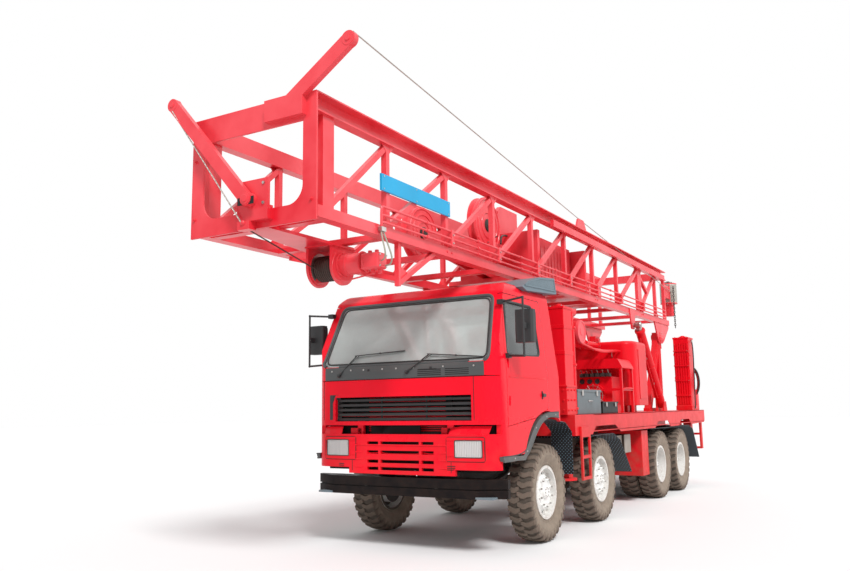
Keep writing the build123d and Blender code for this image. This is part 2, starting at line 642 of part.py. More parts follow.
def cab_front_parts(front):
    """Cowl, grille panel and lamp panel, with the grilles and lamps in them."""
    wide = CAB_WIDE
    far = (FRONT_PANEL_X - 1, 1500)
    gap_low = block(far, wide, (LOWER_PANEL_Z[1], UPPER_PANEL_Z[0]))
    shut = block(far, wide, (UPPER_PANEL_Z[1], COWL_Z[0]))
    opening = block(far, (-GRILLE_HALF, GRILLE_HALF), GRILLE_Z)
    slots = [block(far, y, (z - SLOT_H / 2, z + SLOT_H / 2)) for z in SLOT_ROWS_Z for y in SLOT_Y]
    lamps = both_sides(block(far, LAMP_Y, LAMP_Z))
    under = block(far, wide, (600, LOWER_PANEL_Z[0]))
    ends = both_sides(block(far, (700, CAB_WIDE[1]), (600, 895)))
    panels = front - [gap_low, shut, opening, under] - slots - lamps - ends
    ties = both_sides(block((FRONT_PANEL_X, FRONT_PANEL_X + 40), (560, 640),
                            (LOWER_PANEL_Z[1] - 60, UPPER_PANEL_Z[0] + 60)))
    ties += both_sides(block((FRONT_PANEL_X, FRONT_PANEL_X + 40), (560, 640),
                             (UPPER_PANEL_Z[1] - 60, COWL_Z[0] + 60)))
    stiff = [block((FRONT_PANEL_X, CAB_FRONT_X - CAB_WALL - 20), (y, y + 30), (z[0] + 20, z[1] - 20))
             for z in (LOWER_PANEL_Z,) for y in (-640, 610)]
    save(fuse([panels] + ties + stiff), "cab_front_panels")
    slat_pitch = (GRILLE_Z[1] - GRILLE_Z[0]) / GRILLE_SLATS
    slats = []
    for i in range(GRILLE_SLATS):
        z = GRILLE_Z[0] + slat_pitch * (i + 0.5)
        slats.append(side_plate([(1225, z - 16), (1262, z - 22), (1262, z + 4), (1225, z + 12)],
                                (-GRILLE_HALF + SEAT, GRILLE_HALF - SEAT)))
    ribs = [block((1215, 1226), (y - 8, y + 8), (GRILLE_Z[0] + SEAT, GRILLE_Z[1] - SEAT))
            for y in (-GRILLE_HALF + 8 + SEAT, -300, 300, GRILLE_HALF - 8 - SEAT)]
    save(fuse(slats + ribs), "front_grilles")
    lens = cab_body(LAMP_RECESS) - cab_body(CAB_WALL + 20)
    holes = both_sides(block(far, (LAMP_Y[0] + SEAT, LAMP_Y[1] - SEAT),
                             (LAMP_Z[0] + SEAT, LAMP_Z[1] - SEAT)))
    save(fuse_loose([lens & hole for hole in holes]), "headlamps")


def cab_interior():
    """Two seats, the dash and the steering wheel on the truck's right."""
    lap = block((1100, FRONT_PANEL_X), CAB_WIDE, (1760, 1990)) & cab_body(CAB_WALL)
    half = CAB_HALF - 55
    pieces = [fuse([block((640, 1110), (-half, half), (1760, 1990)), lap])]
    for y in (-680, 680):
        pieces.append(block((-120, 380), (y - 240, y + 240), (CAB_FLOOR_Z + SEAT, 1930)))
        pieces.append(side_plate([(-230, 1900), (-110, 1900), (-180, 2600), (-270, 2600)],
                                 (y - 240, y + 240)))
    tilt = Plane(origin=(560, -680, 2010), x_dir=(0, 1, 0), z_dir=(-0.45, 0, 0.89))
    wheel = tilt * Torus(215, 15)
    spokes = [tilt * Box(430, 24, 14), tilt * Pos(0, -50, 0) * Box(24, 300, 14)]
    column = round_bar((600, -680, 1960), (690, -680, 1850), 34)
    return fuse_loose([fuse([pieces[0], column] + [wheel] + spokes)] + [
        fuse(pieces[1:3]), fuse(pieces[3:5])])


def side_y(z):
    """Half width of the cab's side at a height above its shoulder."""
    lean = (CAB_HALF - CAB_EAVE_HALF) / (CAB_EAVE_Z - CAB_SHOULDER_Z)
    return CAB_HALF - lean * (z - CAB_SHOULDER_Z)


def mirror_unit(reach):
    """Left mirror: a looped arm from the door's edge and a tall housing, so far out."""
    foot_z, head_z = 2105, 2700
    loop_x, loop_y = 1190, CAB_HALF + reach
    radius = 12
    hinge_x = DOOR_FRONT_X - 60
    route = [(hinge_x, side_y(foot_z) + 20, foot_z), (loop_x, loop_y, foot_z - 20),
             (loop_x, loop_y, head_z + 10), (hinge_x, side_y(head_z) + 20, head_z)]
    arm = [round_bar(route[i], route[i + 1], radius) for i in range(3)]
    knots = [Pos(*p) * Sphere(radius * 1.25) for p in route[1:3]]
    feet = [block((hinge_x - 32, hinge_x + 40), (side_y(z) - 30, side_y(z) + 42), (z - 26, z + 26))
            for z in (foot_z, head_z)]
    shell = block((1000, 1110), (loop_y - 140, loop_y + 70), (2235, 2590))
    shell = fillet(shell.edges().filter_by(Axis.Z), 28)
    link = block((1100, loop_x), (loop_y - 14, loop_y + 14), (2380, 2440))
    return fuse(arm + knots + feet + [shell, link]) - cab_body(0)


def roof_hood():
    """Grey intake hood along the roof's left edge."""
    profile = [(500, 2935), (310, 3030), (-20, 3112), (-500, 3160), (-560, 2960), (380, 2900)]
    return side_plate(profile, (870, 1190)) - cab_body(0)


def mudguards():
    """Black arch liners and flaps, sheet all round, on stays from the rails."""
    sheet, stay = 8.0, 14.0
    back = DECK_FRONT_X + sheet / 2
    liner = [(700, 1010), (560, 1250), (250, 1390), (-250, 1400), (-690, 1350), (back, 1230),
             (back, 700)]
    pieces = both_sides(sheet_run(liner, sheet, (CAB_HALF - 330, CAB_HALF - CAB_WALL - 6)))
    # each guard: bend points, inner edge, stay positions
    mid = (AXLE_X["3"] + AXLE_X["4"]) / 2
    guards = (
        ([(-1480, 1150), (-2500, 1155), (-2800, 1050), (-3290, 560)], CAB_HALF - 330, (-1540, -2420)),
        ([(mid + 1290, 1162), (-7115, 1162), (-7420, 1080), (-7830, 520)], 590,
         (mid + 1200, mid, -7070)),
    )
    for points, inner, stays in guards:
        run = sheet_run(points, sheet, (inner, CAB_HALF - 20))
        bars = [round_bar((x, RAIL_OUT_Y, 1136), (x, inner + 200, 1136), stay) for x in stays]
        ties = [block((x - stay, x + stay), (inner + 20, inner + 190), (1140, 1160)) for x in stays]
        pieces += both_sides(fuse([run] + bars + ties))
    return pieces


def sheet_run(points, thickness, y):
    """Bent sheet along (x, z) points, between two y values."""
    runs = []
    for a, b in zip(points, points[1:]):
        runs.append(along((a[0], (y[0] + y[1]) / 2, a[1]), (b[0], (y[0] + y[1]) / 2, b[1]),
                          y[1] - y[0], thickness))
    joints = [round_bar((p[0], y[0], p[1]), (p[0], y[1], p[1]), thickness / 2)
              for p in points[1:-1]]
    return fuse(runs + joints)


# Deck and what stands on it

def deck():
    """Flat bed with deep skirts, cut away over the wheels."""
    half = CAB_HALF
    slab = block((DECK_REAR_X, DECK_FRONT_X), (-half, half), (DECK_TOP_Z - DECK_PLATE_T, DECK_TOP_Z))
    low = [(DECK_FRONT_X, SKIRT_LO_Z)]
    for front_foot, front_top, rear_top, rear_foot in SKIRT_CUTS:
        low += [(front_foot, SKIRT_LO_Z), (front_top, SKIRT_HI_Z), (rear_top, SKIRT_HI_Z),
                (rear_foot, SKIRT_LO_Z)]
    low += [(DECK_REAR_X + 60, SKIRT_LO_Z + 20), (DECK_REAR_X, SKIRT_LO_Z + 60)]
    outline = low + [(DECK_REAR_X, DECK_TOP_Z), (DECK_FRONT_X, DECK_TOP_Z)]
    skirts = both_sides(side_plate(outline, (half - SKIRT_T, half)))
    ends = [block((DECK_FRONT_X - SKIRT_T, DECK_FRONT_X), (-half, half), (SKIRT_LO_Z, DECK_TOP_Z)),
            block((DECK_REAR_X, DECK_REAR_X + SKIRT_T), (-half, half), (SKIRT_LO_Z + 60, DECK_TOP_Z))]
    bearers = both_sides(block((DECK_REAR_X, DECK_FRONT_X),
                               (RAIL_OUT_Y - RAIL_W, RAIL_OUT_Y), (RAIL_HI_Z, DECK_TOP_Z - 10)))
    cross = [block((x - 40, x + 40), (-half, half), (DECK_TOP_Z - 110, DECK_TOP_Z - 10))
             for x in range(-1300, -8300, -760)]
    wells = []
    for name, x, y, wx, wy, top in JACKS:
        half_well = JACK_LEG / 2 + JACK_WELL_GAP
        wells += both_sides(block((x - half_well, x + half_well), (y - half_well, y + half_well),
                                  (SKIRT_LO_Z, DECK_TOP_Z + 5)))
    return fuse([slab] + skirts + ends + bearers + cross) - wells


def ladders():
    """Step ladders under the deck's front corners and at its rear."""
    pieces = []
    for sign in (1, -1):
        y = sorted((sign * CAB_HALF, sign * (CAB_HALF + 30)))
        frame = block((-1385, -1050), y, (610, 1290)) - [
            block((-1345, -1090), (y[0] - 5, y[1] + 5), (650, 880)),
            block((-1345, -1090), (y[0] - 5, y[1] + 5), (920, 1150))]
        pieces.append(frame)
        x = (DECK_REAR_X - 120, DECK_REAR_X - SEAT)
        y = sorted((sign * 700, sign * (CAB_HALF - 85)))
        rear = [block(x, (y[0], y[0] + 40), (650, 1380)), block(x, (y[1] - 40, y[1]), (650, 1380))]
        rear += [block(x, y, (z, z + 40)) for z in (650, 930, 1180)]
        pieces.append(fuse(rear))
    return pieces


def stowage_boxes():
    """Tool boxes on the deck, battery boxes and the tanks under it."""
    z = DECK_TOP_Z
    wide = CAB_HALF - 95
    pieces = [
        block((-2230, -1290), (700, wide), (z, z + 330)),
        block((-3000, -2290), (760, wide), (z, z + 160)),
        block((-2230, -1290), (-wide, -700), (z, z + 330)),
    ]
    for sign in (1, -1):
        y = sorted((sign * (RAIL_OUT_Y + SEAT), sign * (CAB_HALF - 125)))
        pieces.append(block((-3650, -3340), y, (830, 1110)))
        y = sorted((sign * (RAIL_OUT_Y + SEAT), sign * (CAB_HALF - 75)))
        pieces.append(block((-4440, -4080), y, (430, 1150)))
    return pieces


def deck_machinery():
    """Canopied hydraulic unit, the cross silencer and the pipes behind it."""
    z = DECK_TOP_Z
    x, y, (eave, crest) = UNIT_X, UNIT_Y, CANOPY_Z
    legs = [block((a, a + 40), (b, b + 40), (z, eave + 20)) for a in (x[0], x[1] - 40)
            for b in (y[0], y[1] - 40)]
    rails = [block(x, (y[1] - 40, y[1]), (z + 350, z + 385)),
             block((x[1] - 40, x[1]), y, (z + 350, z + 385))]
    roof = front_plate([(y[0] - 10, eave), (y[1] + 10, eave), (y[1] + 10, eave + 20),
                        (y[1] - 60, crest), (y[0] + 80, crest), (y[0] - 10, eave + 20)],
                       (x[0] - 10, x[1] + 10), [0, 0, 15, 60, 60, 15])
    unit = block((x[0] + 60, x[1] - 90), (y[0] + 60, y[1] - 200), (z, eave - 130))
    unit_fan = round_bar((x[1] - 91, 500, z + 280), (x[1] - 50, 500, z + 280), 190)
    unit_node = fuse(legs + rails + [roof, unit, unit_fan])
    sx, sz, sr = SILENCER
    silencer = round_bar((sx, -880, sz), (sx, 900, sz), sr)
    silencer = fillet(silencer.edges(), 30)
    saddles = [block((sx - 80, sx + 80), (a - 30, a + 30), (z, sz - 105)) for a in (-640, 640)]
    pipes = [round_bar((-2300, a, b), (-4390, a, b), r)
             for a, b, r in ((-450, 2700, 60), (-250, 2560, 90), (100, 2660, 75), (380, 2560, 70))]
    return [unit_node, fuse([silencer] + saddles + pipes)]


def power_house():
    """Large rounded enclosure across the deck."""
    x = POWER_HOUSE_X
    half = CAB_HALF - 225
    body = block(x, (-half, half), (DECK_TOP_Z + 110, POWER_HOUSE_TOP_Z))
    upright = [e for e in body.edges() if abs(e.tangent_at(0.5).Z) > 0.99]
    body = fillet(upright, 230)
    body = fillet(body.faces().sort_by(Axis.Z)[-1].edges(), 70)
    feet = [block((a, a + 120), (b, b + 120), (DECK_TOP_Z, DECK_TOP_Z + 111))
            for a in (x[0] + 200, x[1] - 320) for b in (-800, 680)]
    return fuse([body] + feet)


def mast_cradle():
    """Portal behind the cab that the stowed mast lies on."""
    x = (CRADLE_X - 80, CRADLE_X + 80)
    posts = both_sides(block(x, (RAIL_OUT_Y - RAIL_W, RAIL_OUT_Y), (RAIL_HI_Z, 2960)))
    beam = block(x, (-MAST_HALF, MAST_HALF), (2950, 3070))
    pads = both_sides(block(x, (MAST_HALF - LOW_CHORD_W, MAST_HALF), (3060, MAST_LO_Z - SEAT)))
    ties = both_sides(along((CRADLE_X, 382, 2300), (CRADLE_X, MAST_HALF - 50, 2955), 80, 80,
                            across=(1, 0, 0)))
    return fuse([beam] + posts + pads + ties)


def mast_support():
    """A-frame on each side of the deck that carries the mast's pivot."""
    y = (MAST_HALF - 165, MAST_HALF - 20 - FOOT_PLATE_T - SWING_GAP)
    x, z = PIVOT
    frame = [
        along((x + 40, sum(y) / 2, DECK_TOP_Z), (x + 20, sum(y) / 2, z - 40), y[1] - y[0], 200),
        along((x + 900, sum(y) / 2, DECK_TOP_Z), (x + 60, sum(y) / 2, z - 90), y[1] - y[0], 150),
        side_plate([(x - 150, z - 220), (x + 200, z - 220), (x + 130, z + 90), (x - 110, z + 90)], y),
        block((x - 100, x + 1000), y, (DECK_TOP_Z, DECK_TOP_Z + 60)),
    ]
    pin = round_bar((x, y[0] - 2, z), (x, y[1] + 2, z), PIVOT_PIN_R + RUNNING)
    below = block((x - 500, x + 1300), (y[0] - 5, y[1] + 5), (DECK_TOP_Z - 300, DECK_TOP_Z))
    side = fuse(frame) - pin - below
    cross = [block((x - 40, x + 120), (-y[0] - 1, y[0] + 1), (DECK_TOP_Z + 250, DECK_TOP_Z + 390)),
             round_bar((x + 10, -y[0] - 1, z - 590), (x + 10, y[0] + 1, z - 590), 60)]
    lugs = []
    fx, fz = CYL_FOOT
    for a in (CYL_Y - 75, CYL_Y + 45):
        lug = side_plate([(fx - 120, DECK_TOP_Z), (fx + 120, DECK_TOP_Z), (fx + 60, fz + 60),
                          (fx - 60, fz + 60)], (a, a + 30))
        lugs += both_sides(lug)
    pins = both_sides(round_bar((fx, CYL_Y - 80, fz), (fx, CYL_Y + 80, fz), CYL_PIN_R))
    return [fuse(both_sides(side) + cross)] + [
        fuse([l for l in lugs[s::2]] + [pins[s]]) for s in (0, 1)]


def jack_housings():
    """Square jack columns on the deck, open right through for the legs."""
    pieces = []
    for name, x, y, wx, wy, top in JACKS:
        outer = block((x - wx / 2, x + wx / 2), (y - wy / 2, y + wy / 2), (DECK_TOP_Z, top))
        collar = block((x - wx / 2 - 12, x + wx / 2 + 12), (y - wy / 2 - 12, y + wy / 2 + 12),
                       (DECK_TOP_Z, DECK_TOP_Z + 380 if name == "front" else DECK_TOP_Z + 90))
        leg = JACK_LEG / 2 + RUNNING
        bore = block((x - leg, x + leg), (y - leg, y + leg), (DECK_TOP_Z - 5, top - 60))
        pieces += both_sides(fuse([outer, collar]) - bore)
    return pieces


def jack_leg(x, y, top):
    """Square leg with a round foot, drawn up."""
    half = JACK_LEG / 2
    leg = block((x - half, x + half), (y - half, y + half), (JACK_FOOT_Z + 30, top - 90))
    foot = round_bar((x, y, JACK_FOOT_Z), (x, y, JACK_FOOT_Z + 31), JACK_FOOT_R)
    return fuse([leg, foot])


# Mast

def chord_inner_y():
    """Inner face of the mast's lower chord, left side."""
    return MAST_HALF - LOW_CHORD_W


def mast_side():
    """Left side of the mast: channel top chord, box lower chord, posts and braces."""
    rear, front = MAST_TOP_REAR_X, MAST_FRONT_X - CROWN_T
    lo, hi = MAST_HI_Z - TOP_CHORD_H, MAST_HI_Z
    outer, inner, t = MAST_HALF, MAST_HALF - TOP_CHORD_W, CHORD_T
    channel = [(inner, lo), (outer, lo), (outer, lo + t), (inner + t, lo + t),
               (inner + t, hi - t), (outer, hi - t), (outer, hi), (inner, hi)]
    lo_z = MAST_LO_Z + LOW_CHORD_H - 1
    y = (POST_Y - POST / 2, POST_Y + POST / 2)
    pieces = [
        front_plate(channel, (rear, front)),
        block((MAST_LOW_REAR_X, front), (chord_inner_y(), outer), (MAST_LO_Z, lo_z + 1)),
        block(CROWN_POST_X, y, (lo_z, lo + 1)),
        block((rear, rear + 80), y, (lo_z, lo + 1)),
    ]
    for x in POSTS_X:
        wide = (WIDE_POST_W if x == WIDE_POST_X else POST) / 2
        pieces.append(block((x - wide, x + wide), y, (lo_z, lo + 1)))
    feet = (sum(CROWN_POST_X) / 2,) + POSTS_X
    for ahead, behind in zip(feet, feet[1:]):
        pieces.append(along((behind, POST_Y, lo - 5), (ahead, POST_Y, lo_z + 5), BRACE, BRACE))
    pieces.append(along((WIDE_POST_X - 80, POST_Y, lo - 160), (WIDE_POST_X - 585, POST_Y, lo - 420),
                        BRACE, BRACE))
    return fuse(pieces + [foot_plate(), cylinder_ear()])


def mast_crosses():
    """Bars across the mast: one at each post between the lower chords, one at the rear."""
    reach = chord_inner_y()
    bars = [block((x - 50, x + 50), (-reach, reach), (MAST_LO_Z, MAST_LO_Z + 60))
            for x in (sum(CROWN_POST_X) / 2,) + POSTS_X]
    web = MAST_HALF - TOP_CHORD_W
    bars.append(block((MAST_TOP_REAR_X, MAST_TOP_REAR_X + 110), (-web, web),
                      (MAST_HI_Z - TOP_CHORD_H + CHORD_T, MAST_HI_Z - CHORD_T)))
    return bars


def mast_crown():
    """Crown plate with its mouth and the beam behind its head."""
    plate = block((MAST_FRONT_X - CROWN_T, MAST_FRONT_X), (-MAST_HALF, MAST_HALF),
                  (CROWN_LO_Z, MAST_HI_Z))
    mouth = block((MAST_FRONT_X - 2 * CROWN_T, MAST_FRONT_X + CROWN_T),
                  (-MAST_HALF + CROWN_SIDE, MAST_HALF - CROWN_SIDE), CROWN_MOUTH_Z)
    low_edges = [e for e in mouth.edges() if abs(e.tangent_at(0.5).X) > 0.99
                 and e.center().Z < CROWN_MOUTH_Z[0] + 1]
    web = MAST_HALF - TOP_CHORD_W
    beam = block((MAST_FRONT_X - 150, MAST_FRONT_X - CROWN_T), (-web, web),
                 (CROWN_MOUTH_Z[1] + 120, MAST_HI_Z - CHORD_T))
    return fuse([plate - fillet(low_edges, CROWN_CORNER_R), beam])


def foot_plate():
    """Rounded plate under the mast's rear that holds its pivot."""
    x, z = PIVOT
    y = (MAST_HALF - 20 - FOOT_PLATE_T, MAST_HALF - 20)
    points = [(x + 400, MAST_LO_Z + 20), (x + 170, z - 70), (x + 90, z - 120), (x - 120, z - 120),
              (x - 260, z - 60), (MAST_LOW_REAR_X, MAST_LO_Z - 60), (MAST_LOW_REAR_X, MAST_LO_Z + 20)]
    plate = side_plate(points, y, [0, 60, 60, 60, 60, 20, 0])
    pin = round_bar((x, y[0] - 160, z), (x, y[0] + 1, z), PIVOT_PIN_R)
    return fuse([plate, pin])


def cylinder_ear():
    """Flat ear outside the lower chord at the raising cylinder's head."""
    x, z = CYL_HEAD
    return side_plate([(x - 170, MAST_LO_Z + 90), (x - 80, z - 70), (x + 80, z - 70),
                       (x + 170, MAST_LO_Z + 90)], (MAST_HALF - 10, MAST_HALF + 16), [0, 50, 50, 0])


def winch_frame():
    """Belly plate and box with the winch's side plates and motor, and the strut frame beside it."""
    x, z = WINCH
    y = WINCH_Y
    reach = WINCH_FLANGE_R + 20
    top = CROWN_LO_Z
    belly = top_plate([(MAST_FRONT_X - CROWN_T, y[1] + 10), (MAST_FRONT_X - CROWN_T, y[0] + 10),
                       (x - 205, y[0] - 220), (x - 205, y[1] + 10)], (top, MAST_LO_Z))
    pieces = [belly, block((x - 205, x + 205), (y[0] - 30, y[1] + 50), (z + reach + 5, top + 1))]
    for a in (y[0] - WINCH_PLATE_T, y[1]):
        b = a + WINCH_PLATE_T
        pieces.append(block((x - reach, x + reach), (a, b), (z, z + reach + 10)))
        pieces.append(round_bar((x, a, z), (x, b, z), reach))
    bore = round_bar((x, y[0] - 80, z), (x, y[1] + WINCH_PLATE_T, z), WINCH_SHAFT_R + RUNNING)
    gear = round_bar((x, y[1] + WINCH_PLATE_T - 1, z + 15), (x, y[1] + 285, z + 15), 105)
    motor = block((x - 80, x + 80), (y[1] + 284, y[1] + 505), (z - 65, z + 95))
    unit = fuse([fuse(pieces) - bore, gear, fillet(motor.edges(), 25)])
    return fuse_loose([unit, strut_frame()])


def strut_frame():
    """Strut under the left lower chord, tied across to the right one."""
    x, apex = STRUT_X, STRUT_LO_Z
    y = POST_Y
    frame = [
        block((x - 25, x + 15), (y - 25, y + 25), (apex - 30, MAST_LO_Z)),
        along((x - 10, y, apex), (x - 730, y, MAST_LO_Z + 15), 50, 50),
        along((x - 5, y, apex + 40), (x - 5, -y, MAST_LO_Z - 5), 40, 50, across=(1, 0, 0)),
        side_plate([(x - 5, apex + 182), (x - 208, apex + 118), (x - 5, apex)], (y - 8, y + 8)),
    ]
    above = block((x - 900, x + 100), (-MAST_HALF, MAST_HALF), (MAST_LO_Z, MAST_LO_Z + 200))
    return fuse(frame) - above


def winch_drum():
    """Rope drum between its flanges, on its shaft."""
    x, z = WINCH
    a, b = WINCH_Y[0] + RUNNING, WINCH_Y[1] - RUNNING
    drum = round_bar((x, a + 1, z), (x, b - 1, z), 110)
    flanges = [round_bar((x, y, z), (x, y + 14, z), WINCH_FLANGE_R) for y in (a, b - 14)]
    shaft = round_bar((x, WINCH_Y[0] - 60, z), (x, WINCH_Y[1] + WINCH_PLATE_T - 6, z), WINCH_SHAFT_R)
    return fuse([drum, shaft] + flanges)


def jib_arms():
    """Crown jib over the top beam, and the swung service jib in front of the mouth."""
    x, hi = MAST_FRONT_X, MAST_HI_Z
    upper = along((x + 30, 418, hi - 110), (x + 30, 1130, hi + 350), 60, 130, across=(1, 0, 0))
    foot = block((x, x + 60), (200, 640), (hi - 210, hi - 10))
    base = [block((x, x + 70), (-95, 269), (CROWN_LO_Z + 60, CROWN_MOUTH_Z[0] + 20)),
            block((x + 40, x + 70), (-95, 269), (CROWN_MOUTH_Z[0] - 30, CROWN_MOUTH_Z[0] + 265))]
    lower = along((x + 110, 77, MAST_LO_Z + 195), (x + 110, -900, hi + 160), 60, 118, across=(1, 0, 0))
    hinge = round_bar((x + 60, 77, MAST_LO_Z + 215), (x + 150, 77, MAST_LO_Z + 215), 62)
    block_y = (-70, 74)
    guide = block((x, x + 90), block_y, (CROWN_LO_Z - 15, CROWN_LO_Z + 61))
    ends = [round_bar((x, 1130, hi + 350), (x + 60, 1130, hi + 350), 70),
            round_bar((x + 80, -900, hi + 160), (x + 140, -900, hi + 160), 64)]
    return fuse_loose([fuse([upper, foot, ends[0]]), fuse([lower, hinge, guide, ends[1]] + base)])


def rear_winch():
    """Upright drum with its motor below, on a bracket off the mast's rear end."""
    x, y, r, lo, hi = REAR_WINCH
    drum = round_bar((x, y, lo), (x, y, hi), r)
    motor = round_bar((x, y, lo - 260), (x, y, lo + 1), r * 0.62)
    bracket = block((x, MAST_TOP_REAR_X), (POST_Y - 28, POST_Y + 28), (lo + 90, hi - 90))
    return fuse([fillet(drum.edges(), 25), fillet(motor.edges().sort_by(Axis.Z)[0], 25), bracket])


def mast_fittings():
    """Piping along the left side, the blank sign board, the outer rail and the rear winch."""
    y, lo, hi = MAST_HALF, MAST_LO_Z, MAST_HI_Z
    front = POSTS_X[0] + 150
    pipes = [round_bar((front, y + 30, z), (-7600, y + 30, z), 12)
             for z in (lo + 128, lo + 197, lo + 279)]
    clamps = [block((x - 30, x + 30), (POST_Y + POST / 2, y + 46), (lo + 112, lo + 298))
              for x in POSTS_X[1:8]]
    board = block((1390, 2745), (POST_Y + POST / 2, y - 8), (lo + 460, lo + 627))
    rail = block(RAIL_X, (y, y + 50), (hi - 220, hi - 120))
    ear = side_plate([(RAIL_EAR_X[0], hi), (RAIL_EAR_X[1], hi), (RAIL_EAR_X[1] - 90, hi + 160),
                      (RAIL_EAR_X[0] + 120, hi + 160)], (y - 60, y - 30), [0, 0, 60, 60])
    return [fuse(pipes + clamps), board, rail, ear, rear_winch()]


def sheave(centre, radius, width):
    """Grooved rope wheel turning across the mast."""
    x, z = centre
    half, groove = width / 2, radius - 45
    profile = [(0, -half), (radius, -half), (radius, -half * 0.7), (groove, -half * 0.25),
               (groove, half * 0.25), (radius, half * 0.7), (radius, half), (0, half)]
    face = make_face(Polyline(*profile, close=True))
    plane = Plane(origin=(x, 0, z), x_dir=(1, 0, 0), z_dir=(0, 0, 1))
    return revolve(plane * face, Axis((x, 0, z), (0, 1, 0)))


def rotary_head():
    """Top drive on its carriage between the lower chords, with its rope sheaves."""
    half = chord_inner_y() - SWING_GAP
    lo = MAST_LO_Z
    bx, bz, br = BLOCK_SHEAVE
    sx, sz, sr = HEAD_SHEAVE
    base = block((-4700, -1000), (-half, half), (lo + 100, lo + 160))
    lift = [block((x - 40, x + 40), (-half, half), (lo + 150, lo + 850)) for x in (-1400, -3300)]
    gear = block((-3200, -2000), (-400, 400), (lo + 250, lo + 870))
    drum = round_bar((-900, 0, HEAD_Z), (-2050, 0, HEAD_Z), 190)
    quill = round_bar((-3190, 0, HEAD_Z), (QUILL_END_X, 0, HEAD_Z), 90)
    box_end = round_bar((QUILL_END_X - 1, 0, HEAD_Z), (QUILL_END_X + QUILL_BORE_L, 0, HEAD_Z),
                        QUILL_BORE_R)
    rail = (lo + 70, lo + 101)
    shoes = [block((x - 160, x + 160), (s * (half - 40), s * (chord_inner_y() - RUNNING)), rail)
             for x in (-1400, -4400) for s in (1, -1)]
    cheeks = [side_plate([(bx + 60, bz - 60), (bx + 60, bz + 60), (-900, HEAD_Z + 110),
                          (-1450, HEAD_Z + 110), (-1450, lo + 160), (-900, lo + 160)],
                         (s * 60, s * 84), [40, 40, 0, 0, 0, 0]) for s in (1, -1)]
    plate = side_plate([(HEAD_PLATE_X[0], HEAD_PLATE_Z[0]), (HEAD_PLATE_X[1], HEAD_PLATE_Z[0]),
                        (HEAD_PLATE_X[1], HEAD_PLATE_Z[1] - 80), (HEAD_PLATE_X[1] - 90, HEAD_PLATE_Z[1]),
                        (HEAD_PLATE_X[0], HEAD_PLATE_Z[1])], (-30, 30))
    arm = block((HEAD_PLATE_X[1] - 1, sx), (-24, 24), (sz - 60, sz + 60))
    wheels_in = [sheave((bx, bz), br, 120), sheave((sx, sz), sr, 120)]
    return fuse([base, gear, drum, quill, plate, arm] + lift + shoes + cheeks + wheels_in) - box_end


def cylinder_barrel():
    """Raising cylinder barrel, closed at its foot by the eye."""
    (fx, fz), (hx, hz) = CYL_FOOT, CYL_HEAD
    length = hypot(hx - fx, hz - fz)
    ux, uz = (hx - fx) / length, (hz - fz) / length
    reach = length - CYL_EYE_R - 40
    start = (fx + ux * 90, CYL_Y, fz + uz * 90)
    end = (fx + ux * reach, CYL_Y, fz + uz * reach)
    tube = round_bar(start, end, CYL_R)
    bore = round_bar((fx + ux * 150, CYL_Y, fz + uz * 150), (fx + ux * (reach + 5), CYL_Y,
                                                            fz + uz * (reach + 5)), ROD_R + RUNNING)
    eye = round_bar((fx, CYL_Y - 40, fz), (fx, CYL_Y + 40, fz), CYL_EYE_R)
    neck = along((fx, CYL_Y, fz), (fx + ux * 100, CYL_Y, fz + uz * 100), 80, 100)
    pin = round_bar((fx, CYL_Y - 60, fz), (fx, CYL_Y + 60, fz), CYL_PIN_R + RUNNING)
    return fuse([tube, eye, neck]) - bore - pin


def cylinder_rod():
    """Raising cylinder rod with its eye and the pin beside the mast's ear."""
    (fx, fz), (hx, hz) = CYL_FOOT, CYL_HEAD
    length = hypot(hx - fx, hz - fz)
    ux, uz = (hx - fx) / length, (hz - fz) / length
    rod = round_bar((fx + ux * 170, CYL_Y, fz + uz * 170), (hx - ux * 30, CYL_Y, hz - uz * 30), ROD_R)
    eye = round_bar((hx, CYL_Y - 40, hz), (hx, CYL_Y + 40, hz), CYL_EYE_R)
    pin = round_bar((hx, MAST_HALF + 16 + RUNNING, hz), (hx, CYL_Y + 60, hz), CYL_PIN_R)
    return fuse([rod, eye, pin])


def raising_cylinders():
    save(fuse_loose(both_sides(cylinder_barrel())), "raise_barrels")
    save(fuse_loose(both_sides(cylinder_rod())), "raise_rods")


def main():
    os.makedirs("parts", exist_ok=True)
    wheels()
    knuckles()
    save(running_gear(), "running_gear")
    save(chassis_frame(), "chassis_frame")
    save(engine_block(), "engine_block")
    save(front_bumper(), "front_bumper")
    cab()
    save(cab_interior(), "cab_interior")
    for side, sign in SIDES.items():
        unit = mirror_unit(MIRROR_REACH[side])
        save(unit if sign > 0 else mirror(unit, about=Plane.XZ), f"mirror_{side}")
    save(roof_hood(), "roof_hood")
    save(fuse_loose(mudguards()), "mudguards")
    save(deck(), "deck")
    save(fuse_loose(ladders()), "ladders")
    save(fuse_loose(stowage_boxes()), "stowage_boxes")
    save(fuse_loose(deck_machinery()), "deck_machinery")
    save(power_house(), "power_house")
    save(mast_cradle(), "mast_cradle")
    save(fuse_loose(mast_support()), "mast_support")
    save(fuse_loose(jack_housings()), "jack_housings")
    for name, x, y, wx, wy, top in JACKS:
        for side, sign in SIDES.items():
            save(jack_leg(x, sign * y, top), f"jack_leg_{name}_{side}")
    save(fuse_loose(both_sides(mast_side())), "mast_sides")
    save(fuse_loose(mast_crosses()), "mast_crosses")
    save(mast_crown(), "mast_crown")
    save(winch_frame(), "winch_frame")
    save(winch_drum(), "winch_drum")
    save(jib_arms(), "jib_arms")
    save(fuse_loose(mast_fittings()), "mast_fittings")
    save(rotary_head(), "rotary_head")
    raising_cylinders()


main()
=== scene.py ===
"""Looks of a truck-mounted drilling rig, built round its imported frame.

Metres, in the frame's own axes: X forwards, Y to the truck's left, Z up.
Places along the truck are given from the front axle, through at().
"""
from __future__ import annotations

